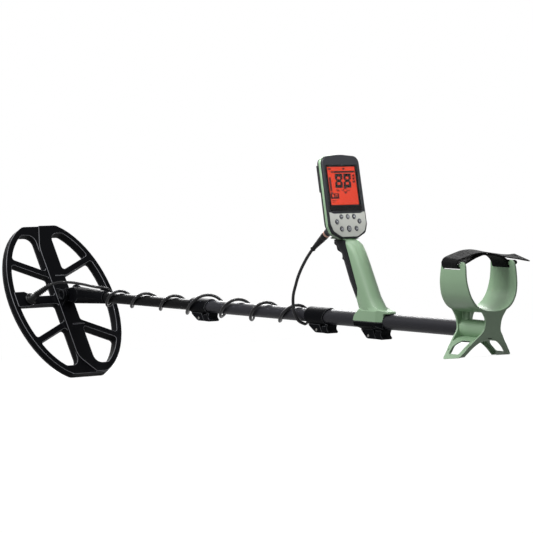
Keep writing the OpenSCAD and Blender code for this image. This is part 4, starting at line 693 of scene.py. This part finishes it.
# ----------------------------------------------------------------
# Lead: one round PVC cable from a ribbed boot on the coil, over the hinge, in seven turns round
# the shaft and up to a plug behind the pod. It is one length of 1.17 m, in four stretches.
def spline(points, steps):
    """A smooth curve through the points, in so many steps from each to the next."""
    last, curve = len(points) - 1, []
    for i in range(last):
        a, b, c, d = (Vector(points[k]) for k in (max(i - 1, 0), i, i + 1, min(i + 2, last)))
        for j in range(steps):
            t = j / steps
            curve.append(0.5 * (2 * b + (c - a) * t + (2 * a - 5 * b + 4 * c - d) * t ** 2
                                + (3 * b - 3 * c + d - a) * t ** 3))
    return curve + [Vector(points[last])]


def geometry_tree(name, sockets):
    """A tree of geometry nodes with named inputs, and its input node."""
    tree = bpy.data.node_groups.new(name, "GeometryNodeTree")
    tree.interface.new_socket("Geometry", in_out="INPUT", socket_type="NodeSocketGeometry")
    for label, kind in sockets.items():
        tree.interface.new_socket(label, in_out="INPUT", socket_type="NodeSocket" + kind)
    tree.interface.new_socket("Geometry", in_out="OUTPUT", socket_type="NodeSocketGeometry")
    return tree, tree.nodes.new("NodeGroupInput")


def grown(tree, name, mesh, **values):
    """The plain mesh that a tree of geometry nodes grows from a guide mesh, with its named inputs set."""
    guide = bpy.data.objects.new(name + "_guide", mesh)
    scene.collection.objects.link(guide)
    growth = guide.modifiers.new("growth", "NODES")
    growth.node_group = tree
    for socket in tree.interface.items_tree:
        if socket.in_out == "INPUT" and socket.name in values:
            growth[socket.identifier] = values[socket.name]
    result = bpy.data.meshes.new_from_object(guide.evaluated_get(bpy.context.evaluated_depsgraph_get()))
    result.name = name
    bpy.data.objects.remove(guide)
    return result


def guide_line(points, radii):
    """A line through the points, which carries a radius at each."""
    mesh = bpy.data.meshes.new("line")
    mesh.from_pydata([tuple(p) for p in points], [(i, i + 1) for i in range(len(points) - 1)], [])
    mesh.attributes.new("thickness", "FLOAT", "POINT").data.foreach_set("value", [float(r) for r in radii])
    return mesh


# Hose: a round section swept along the guide line at its thickness, with ribs a pitch apart between two
# distances along it. Each rib is a ring whose radius is Rib times that of the hose there.
hose, put = geometry_tree("hose", {"Sides": "Int", "From": "Float", "To": "Float", "Pitch": "Float",
                                   "Rib": "Float", "Finish": "Material"})
line = add(hose, "GeometryNodeMeshToCurve", Mesh=put.outputs["Geometry"])
thick = add(hose, "GeometryNodeInputNamedAttribute", {"data_type": "FLOAT"}, Name="thickness")
section = add(hose, "GeometryNodeCurvePrimitiveCircle", Resolution=put.outputs["Sides"], Radius=1.0)
swept = add(hose, "GeometryNodeCurveToMesh", Curve=line, Profile_Curve=section, Scale=thick, Fill_Caps=True)
stretch = add(hose, "GeometryNodeTrimCurve", {"mode": "LENGTH"}, Curve=line, i4=put.outputs["From"],
              i5=put.outputs["To"])
spots = add(hose, "GeometryNodeCurveToPoints", {"mode": "LENGTH"}, Curve=stretch, Length=put.outputs["Pitch"])
rib_line = add(hose, "GeometryNodeCurvePrimitiveCircle", Resolution=put.outputs["Sides"],
               Radius=put.outputs["Rib"])
bead = add(hose, "GeometryNodeCurvePrimitiveCircle", Resolution=6, Radius=0.16)
ring = add(hose, "GeometryNodeCurveToMesh", Curve=rib_line, Profile_Curve=bead)
rings = add(hose, "GeometryNodeInstanceOnPoints", Points=spots, Instance=ring,
            Rotation=spots.outputs["Rotation"], Scale=thick)
loose = add(hose, "GeometryNodeRealizeInstances", Geometry=rings)
joined = add(hose, "GeometryNodeJoinGeometry", Geometry=loose)
hose.links.new(swept.outputs[0], joined.inputs[0])
soft = add(hose, "GeometryNodeSetShadeSmooth", Geometry=joined)
done = add(hose, "GeometryNodeSetMaterial", Geometry=soft, Material=put.outputs["Finish"])
add(hose, "NodeGroupOutput", Geometry=done)

# PVC sheath, extruded: black, a little glossier than the boots, with soft scuffs from the turns
sheath, nt, place = blank("black PVC sheath")
scuff = add(nt, "ShaderNodeTexNoise", Vector=place, Scale=220.0, Detail=3.0)
tone = add(nt, "ShaderNodeMix", as_colours, i0=scuff, i6=srgb("#070709"), i7=srgb("#111114"))
gloss = add(nt, "ShaderNodeMapRange", Value=scuff, From_Min=0.3, From_Max=0.7, To_Min=0.32, To_Max=0.45)
skin = add(nt, "ShaderNodeBsdfPrincipled", Base_Color=tone.outputs[2], Roughness=gloss, IOR=1.53,
           Specular_IOR_Level=0.22)
add(nt, "ShaderNodeOutputMaterial", Surface=skin)

# The boot on the coil: a round foot on the block, then a ribbed sleeve that bends towards the hinge
block_y, block_h, boot_lift, boot_len = -78.0, 7.0, 6.4, 33.0
boot_run = Vector((-0.34, 0.83, 0.44)).normalized()
boot_turn = Vector((0, block_y, block_h + boot_lift))
boot_line = spline([Vector((0, block_y, block_h + h)) for h in (-0.4, 3.4)]
                   + [boot_turn + boot_run * d for d in (2.4, 9, 21, boot_len)], 8)
boot_size = [11.2, 11.2, 11.1, 8.9, 8.8, 8.7, 7.2, 6.8, 6.3, 6.0, 5.7, 5.4, 5.2, 5.0, 4.9, 4.8]
boot_size += [4.7] * 4 + [4.6] * 4 + [4.6 - 0.05 * i for i in range(17)]
foot_to_sleeve = guide_line([COIL @ p for p in boot_line], [r / 1000 for r in boot_size])
mesh = grown(hose, "boot_on_coil", foot_to_sleeve, Sides=28, From=0.0125, To=0.0395, Pitch=0.0038, Rib=1.2,
             Finish=rubber)
piece("boot_on_coil", mesh, rubber, "coil", "soft_rubber", "coil_lead_boot")


def from_coil(p):
    """A point of the coil's frame as the shaft's frame has it."""
    return SHAFT.inverted() @ (COIL @ Vector(p))


lead_d = 5.1
lead_start = [from_coil(boot_turn + boot_run * d) for d in (boot_len, boot_len + 9)] + [
    (17, -36.5, 23.5), (32, -31, 24.5), (50, -25, 24), (68, -18.5, 22), (83, -13, 19.5), (94, -6.5, 17.5),
    (102, 3, 16), (108, 13.4, 9.2), (112.5, 14.6, -4.4), (115.4, 6.4, -13.6), (116, 0, -14.6)]
# The turns round the shaft, as the angle from the bottom, the place along the shaft, and the distance from
# its axis
lead_turns = [
    (0, 116, 14.6), (180, 153, 13.4), (360, 186, 13), (540, 227, 13), (720, 267, 13), (900, 306, 13.2),
    (1080, 341, 15.4), (1260, 396, 19.2), (1370, 423, 18), (1440, 432, 16), (1620, 477, 16),
    (1800, 512, 16.6), (1980, 551, 15), (2160, 584, 14.6), (2340, 628, 14.6), (2520, 646, 15.4)]
lead_end = [
    (646, 0, -15.4), (643.6, -12, -9.5), (639, -17.5, 4), (637, -18, 18), (637.6, -18, 33),
    (644.4, -18.7, 50), (650.6, -19.8, 62), (658.6, -21, 74), (668, -22, 86), (678.4, -22.8, 98),
    (689.8, -23, 109.6)]
turn_steps = 12
turned = [Vector((p.y, -p.z * math.sin(math.radians(p.x)), -p.z * math.cos(math.radians(p.x))))
          for p in spline(lead_turns, turn_steps)]
at_lock = lead_turns.index((1440, 432, 16)) * turn_steps
# Each stretch's line, the bodies at its two ends, and the points between which it goes over from one to
# the other
stretches = {
    "lead_coil_end": (spline(lead_start, 4), "coil", "lower_shaft", 1, 24),
    "lead_wraps_lower": (turned[:at_lock + 1], "lower_shaft", "middle_shaft", 0, -1),
    "lead_wraps_upper": (turned[at_lock:], "middle_shaft", "upper_shaft", 0, -1),
    "lead_rise": (spline(lead_end, 4), "upper_shaft", "grip", 8, -1)}
for node, (route, near, far, begin, finish) in stretches.items():
    route = [SHAFT @ p for p in route]
    # Ribbed over no length: the one ring that this leaves, at the start, is hidden inside the cable
    mesh = grown(hose, node + "_cable", guide_line(route, [lead_d / 2000] * len(route)), Sides=14, From=0.0,
                 To=0.0, Pitch=1.0, Rib=0.5, Finish=sheath)
    cable = bpy.data.objects.new(node + "_cable", mesh)
    scene.collection.objects.link(cable)
    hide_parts(node)
    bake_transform(cable, near, far, route[begin], route[finish])

# The plug: a plated ring on a socket of the pod's back, and a boot that tapers down to the lead

# Turned brass with a rose-copper plating: warm pink metal, with tool rings too fine to show but as a streak
rose, nt, place = blank("rose-copper plated brass")
streak = add(nt, "ShaderNodeTexNoise", Vector=place, Scale=900.0, Detail=2.0)
tone = add(nt, "ShaderNodeMix", as_colours, i0=streak, i6=srgb("#8E6A5E"), i7=srgb("#B08A7C"))
skin = add(nt, "ShaderNodeBsdfPrincipled", Base_Color=tone.outputs[2], Metallic=0.8, Roughness=0.35)
add(nt, "ShaderNodeOutputMaterial", Surface=skin)
moulded("lead_plug", 0.3, rose)
plug_socket, plug_lean, plug_top = (-23, -69.6, -22), math.radians(26.7), -10.6
PLUG = POD @ Matrix.Translation(plug_socket) @ Matrix.Rotation(-plug_lean, 4, "X")
# The boot's radius at each distance down from the plug
boot_shape = [(0, 6.25), (0.5, 6.35), (1.5, 6.4), (6.5, 6.4), (7.6, 6.2), (8.2, 5.95), (12, 5.6), (20, 4.9),
              (30, 4.0), (37, 3.6), (37.8, 4.0), (38.6, 4.4), (40.4, 4.4), (41, 4.0)]
boot_path = guide_line([PLUG @ Vector((0, 0, plug_top - d)) for d, r in boot_shape],
                       [r / 1000 for d, r in boot_shape])
mesh = grown(hose, "boot_on_plug", boot_path, Sides=32, From=0.012, To=0.034, Pitch=0.0036, Rib=0.92,
             Finish=rubber)
piece("boot_on_plug", mesh, rubber, "grip", "soft_rubber", "lead_plug_boot")

# ----------------------------------------------------------------
# Armrest: one sage nylon moulding, an open cuff over an X-shaped stand, pushed on the upper tube
# and held by one screw through its post. The inside of the cuff is bare.
moulded("armrest", 0.9, sage)
moulded("armrest_screw", 0.3, steel)

# ----------------------------------------------------------------
# Strap: woven polypropylene webbing 34 mm wide. Its end is sewn round the right bar; it crosses
# under itself, turns round the left bar and comes back over the top to a loose tail.

# Flat woven tape: two rows of slanting picks across, 1.7 mm apart, and warp cords along it, all drawn at
# twice the real pitch
webbing, nt, flat = blank("woven black polypropylene", "cut")
axis = add(nt, "ShaderNodeSeparateXYZ", Vector=flat)
fold = add(nt, "ShaderNodeMath", {"operation": "PINGPONG"}, i0=axis, i1=0.0034)
slope = add(nt, "ShaderNodeMath", {"operation": "MULTIPLY_ADD"}, i0=fold, i1=0.8, i2=axis.outputs[1])
twill = add(nt, "ShaderNodeCombineXYZ", X=slope)
picks = add(nt, "ShaderNodeTexWave", {"bands_direction": "X"}, Vector=twill, Scale=185.0)
cords = add(nt, "ShaderNodeTexWave", {"bands_direction": "X"}, Vector=flat, Scale=92.0)
weave = add(nt, "ShaderNodeMath", {"operation": "MULTIPLY"}, i0=picks.outputs[1], i1=cords.outputs[1])
lint = add(nt, "ShaderNodeTexNoise", Vector=flat, Scale=300.0, Detail=3.0)
highlight_and_wear_mix = add(nt, "ShaderNodeMath", {"operation": "MULTIPLY"}, i0=weave, i1=lint)
tone = add(nt, "ShaderNodeMix", as_colours, i0=highlight_and_wear_mix, i6=srgb("#050506"), i7=srgb("#131316"))
relief = add(nt, "ShaderNodeBump", Strength=0.8, Distance=0.0004, Height=weave)
skin = add(nt, "ShaderNodeBsdfPrincipled", Base_Color=tone.outputs[2], Roughness=0.7, Specular_IOR_Level=0.06,
           Sheen_Weight=0.04, Sheen_Roughness=0.5, Normal=relief)
add(nt, "ShaderNodeOutputMaterial", Surface=skin)

# The line of its nearer edge, as the place across the shaft, the height, and how much higher the far
# edge is
strap_line = [
    (40, 111.6, 2.8), (47, 107.6, 1.6), (53, 105, 0.4), (60, 104.9, 0.2), (67, 104.6, 0), (70.4, 102.5, 0),
    (69.5, 99.8, 0), (63, 97.3, 0), (56, 95.0, 0), (51.3, 96.1, 0), (49.0, 101.6, 0.4), (44, 106.5, 1.6),
    (36, 110.5, 2.6), (28, 112.6, 3), (16, 114.2, 3.2), (1.4, 115.3, 3.4), (-4.4, 115.2, 3.4),
    (-17.9, 111.7, 3), (-31.2, 106.7, 2.4), (-40.8, 103, 1.4), (-47, 100, 0.4), (-50.5, 96.8, 0),
    (-53.3, 96.3, 0), (-56.5, 97.6, 0), (-58.3, 101, 0), (-58.4, 105, 0.4), (-54, 109, 1.8),
    (-45.4, 111.2, 2.8), (-30.1, 114.8, 3.2), (-16.7, 117.6, 3.4), (-1.3, 118.4, 3.5), (12.3, 117.2, 3.6),
    (31.8, 113.4, 4), (51.5, 109.6, 5.1), (62, 108.2, 5.2), (71.2, 107, 5.2), (85, 104.6, 6.8),
    (96, 103, 9), (99.3, 102.6, 9.6)]
strap_near, strap_w, strap_t = 1059.0, 34.0, 1.6  # the nearer edge's place along the shaft, width, thickness
strap_steps, strap_faces = 6, 8  # faces to each point of the line, and across the width
edge = spline(strap_line, strap_steps)


def on_strap(p, share):
    """A point in the strap's middle layer, at a share of its width from the nearer edge."""
    return Vector((strap_near - strap_w * share, p.x, p.y + p.z * share))


form = bmesh.new()
flat_uv = form.loops.layers.uv.new("cut")
rows, length, lengths = [], 0.0, []
for i, p in enumerate(edge):
    if i:
        length += math.hypot(p.x - edge[i - 1].x, p.y - edge[i - 1].y)
    lengths.append(length)
    rows.append([form.verts.new(SHAFT @ on_strap(p, k / strap_faces)) for k in range(strap_faces + 1)])
for i in range(len(rows) - 1):
    for k in range(strap_faces):
        face = form.faces.new((rows[i][k], rows[i + 1][k], rows[i + 1][k + 1], rows[i][k + 1]))
        face.smooth = True
        for loop, (row, col) in zip(face.loops, ((i, k), (i + 1, k), (i + 1, k + 1), (i, k + 1))):
            loop[flat_uv].uv = (strap_w * col / strap_faces / 1000, lengths[row] / 1000)
mesh = bpy.data.meshes.new("strap_webbing")
form.to_mesh(mesh)
form.free()
strap = piece("strap_webbing", mesh, webbing, "upper_shaft", "webbing", "armrest_strap")
thickness = strap.modifiers.new("thickness", "SOLIDIFY")
thickness.thickness = strap_t / 1000
thickness.offset = 0.0
soft_edge = strap.modifiers.new("edge", "BEVEL")
soft_edge.width, soft_edge.segments, soft_edge.limit_method = 0.0005, 2, "ANGLE"

# Stitches: short thick polyester threads a pitch apart along each guide line
seam, put = geometry_tree("seam", {"Pitch": "Float", "Long": "Float", "Thick": "Float", "Finish": "Material"})
line = add(seam, "GeometryNodeMeshToCurve", Mesh=put.outputs["Geometry"])
spots = add(seam, "GeometryNodeCurveToPoints", {"mode": "LENGTH"}, Curve=line, Length=put.outputs["Pitch"])
thread = add(seam, "GeometryNodeMeshCylinder", Vertices=6, Side_Segments=1, Radius=put.outputs["Thick"],
             Depth=put.outputs["Long"])
laid = add(seam, "GeometryNodeInstanceOnPoints", Points=spots, Instance=thread,
           Rotation=spots.outputs["Rotation"])
loose = add(seam, "GeometryNodeRealizeInstances", Geometry=laid)
soft = add(seam, "GeometryNodeSetShadeSmooth", Geometry=loose)
done = add(seam, "GeometryNodeSetMaterial", Geometry=soft, Material=put.outputs["Finish"])
add(seam, "NodeGroupOutput", Geometry=done)

# Twisted polyester, waxed: charcoal with a slight sheen, its plies seen as a slant
thread_ink, nt, place = blank("bonded polyester thread")
ply = add(nt, "ShaderNodeTexWave", {"bands_direction": "DIAGONAL"}, Vector=place, Scale=600.0)
tone = add(nt, "ShaderNodeMix", as_colours, i0=ply.outputs[1], i6=srgb("#1A1A1D"), i7=srgb("#3C3C42"))
skin = add(nt, "ShaderNodeBsdfPrincipled", Base_Color=tone.outputs[2], Roughness=0.5, Specular_IOR_Level=0.3)
add(nt, "ShaderNodeOutputMaterial", Surface=skin)


def seam_guide(runs):
    """Guide lines on the strap's upper face; each is a list of (row, share of the width) spots."""
    clear = 0.05  # so that the threads stand proud
    mesh = bpy.data.meshes.new("seam")
    points, edges = [], []
    for run in runs:
        for n, (row, share) in enumerate(run):
            p, q = edge[row], edge[row + 1]
            up = Vector((0, p.y - q.y, q.x - p.x)).normalized() * (strap_t / 2 + clear)
            points.append(SHAFT @ (on_strap(p, share) + up))
            if n:
                edges.append((len(points) - 2, len(points) - 1))
    mesh.from_pydata([tuple(p) for p in points], edges, [])
    return mesh


# Two seams across the tail, a few rows before its end
last = len(edge) - 1
tail_seams = [[(last - back, 0.08), (last - back, 0.92)] for back in (3, 9)]
mesh = grown(seam, "strap_stitches", seam_guide(tail_seams), Pitch=0.0024, Long=0.0019, Thick=0.00035,
             Finish=thread_ink)
stitches = piece("strap_stitches", mesh, thread_ink, "upper_shaft", "webbing")
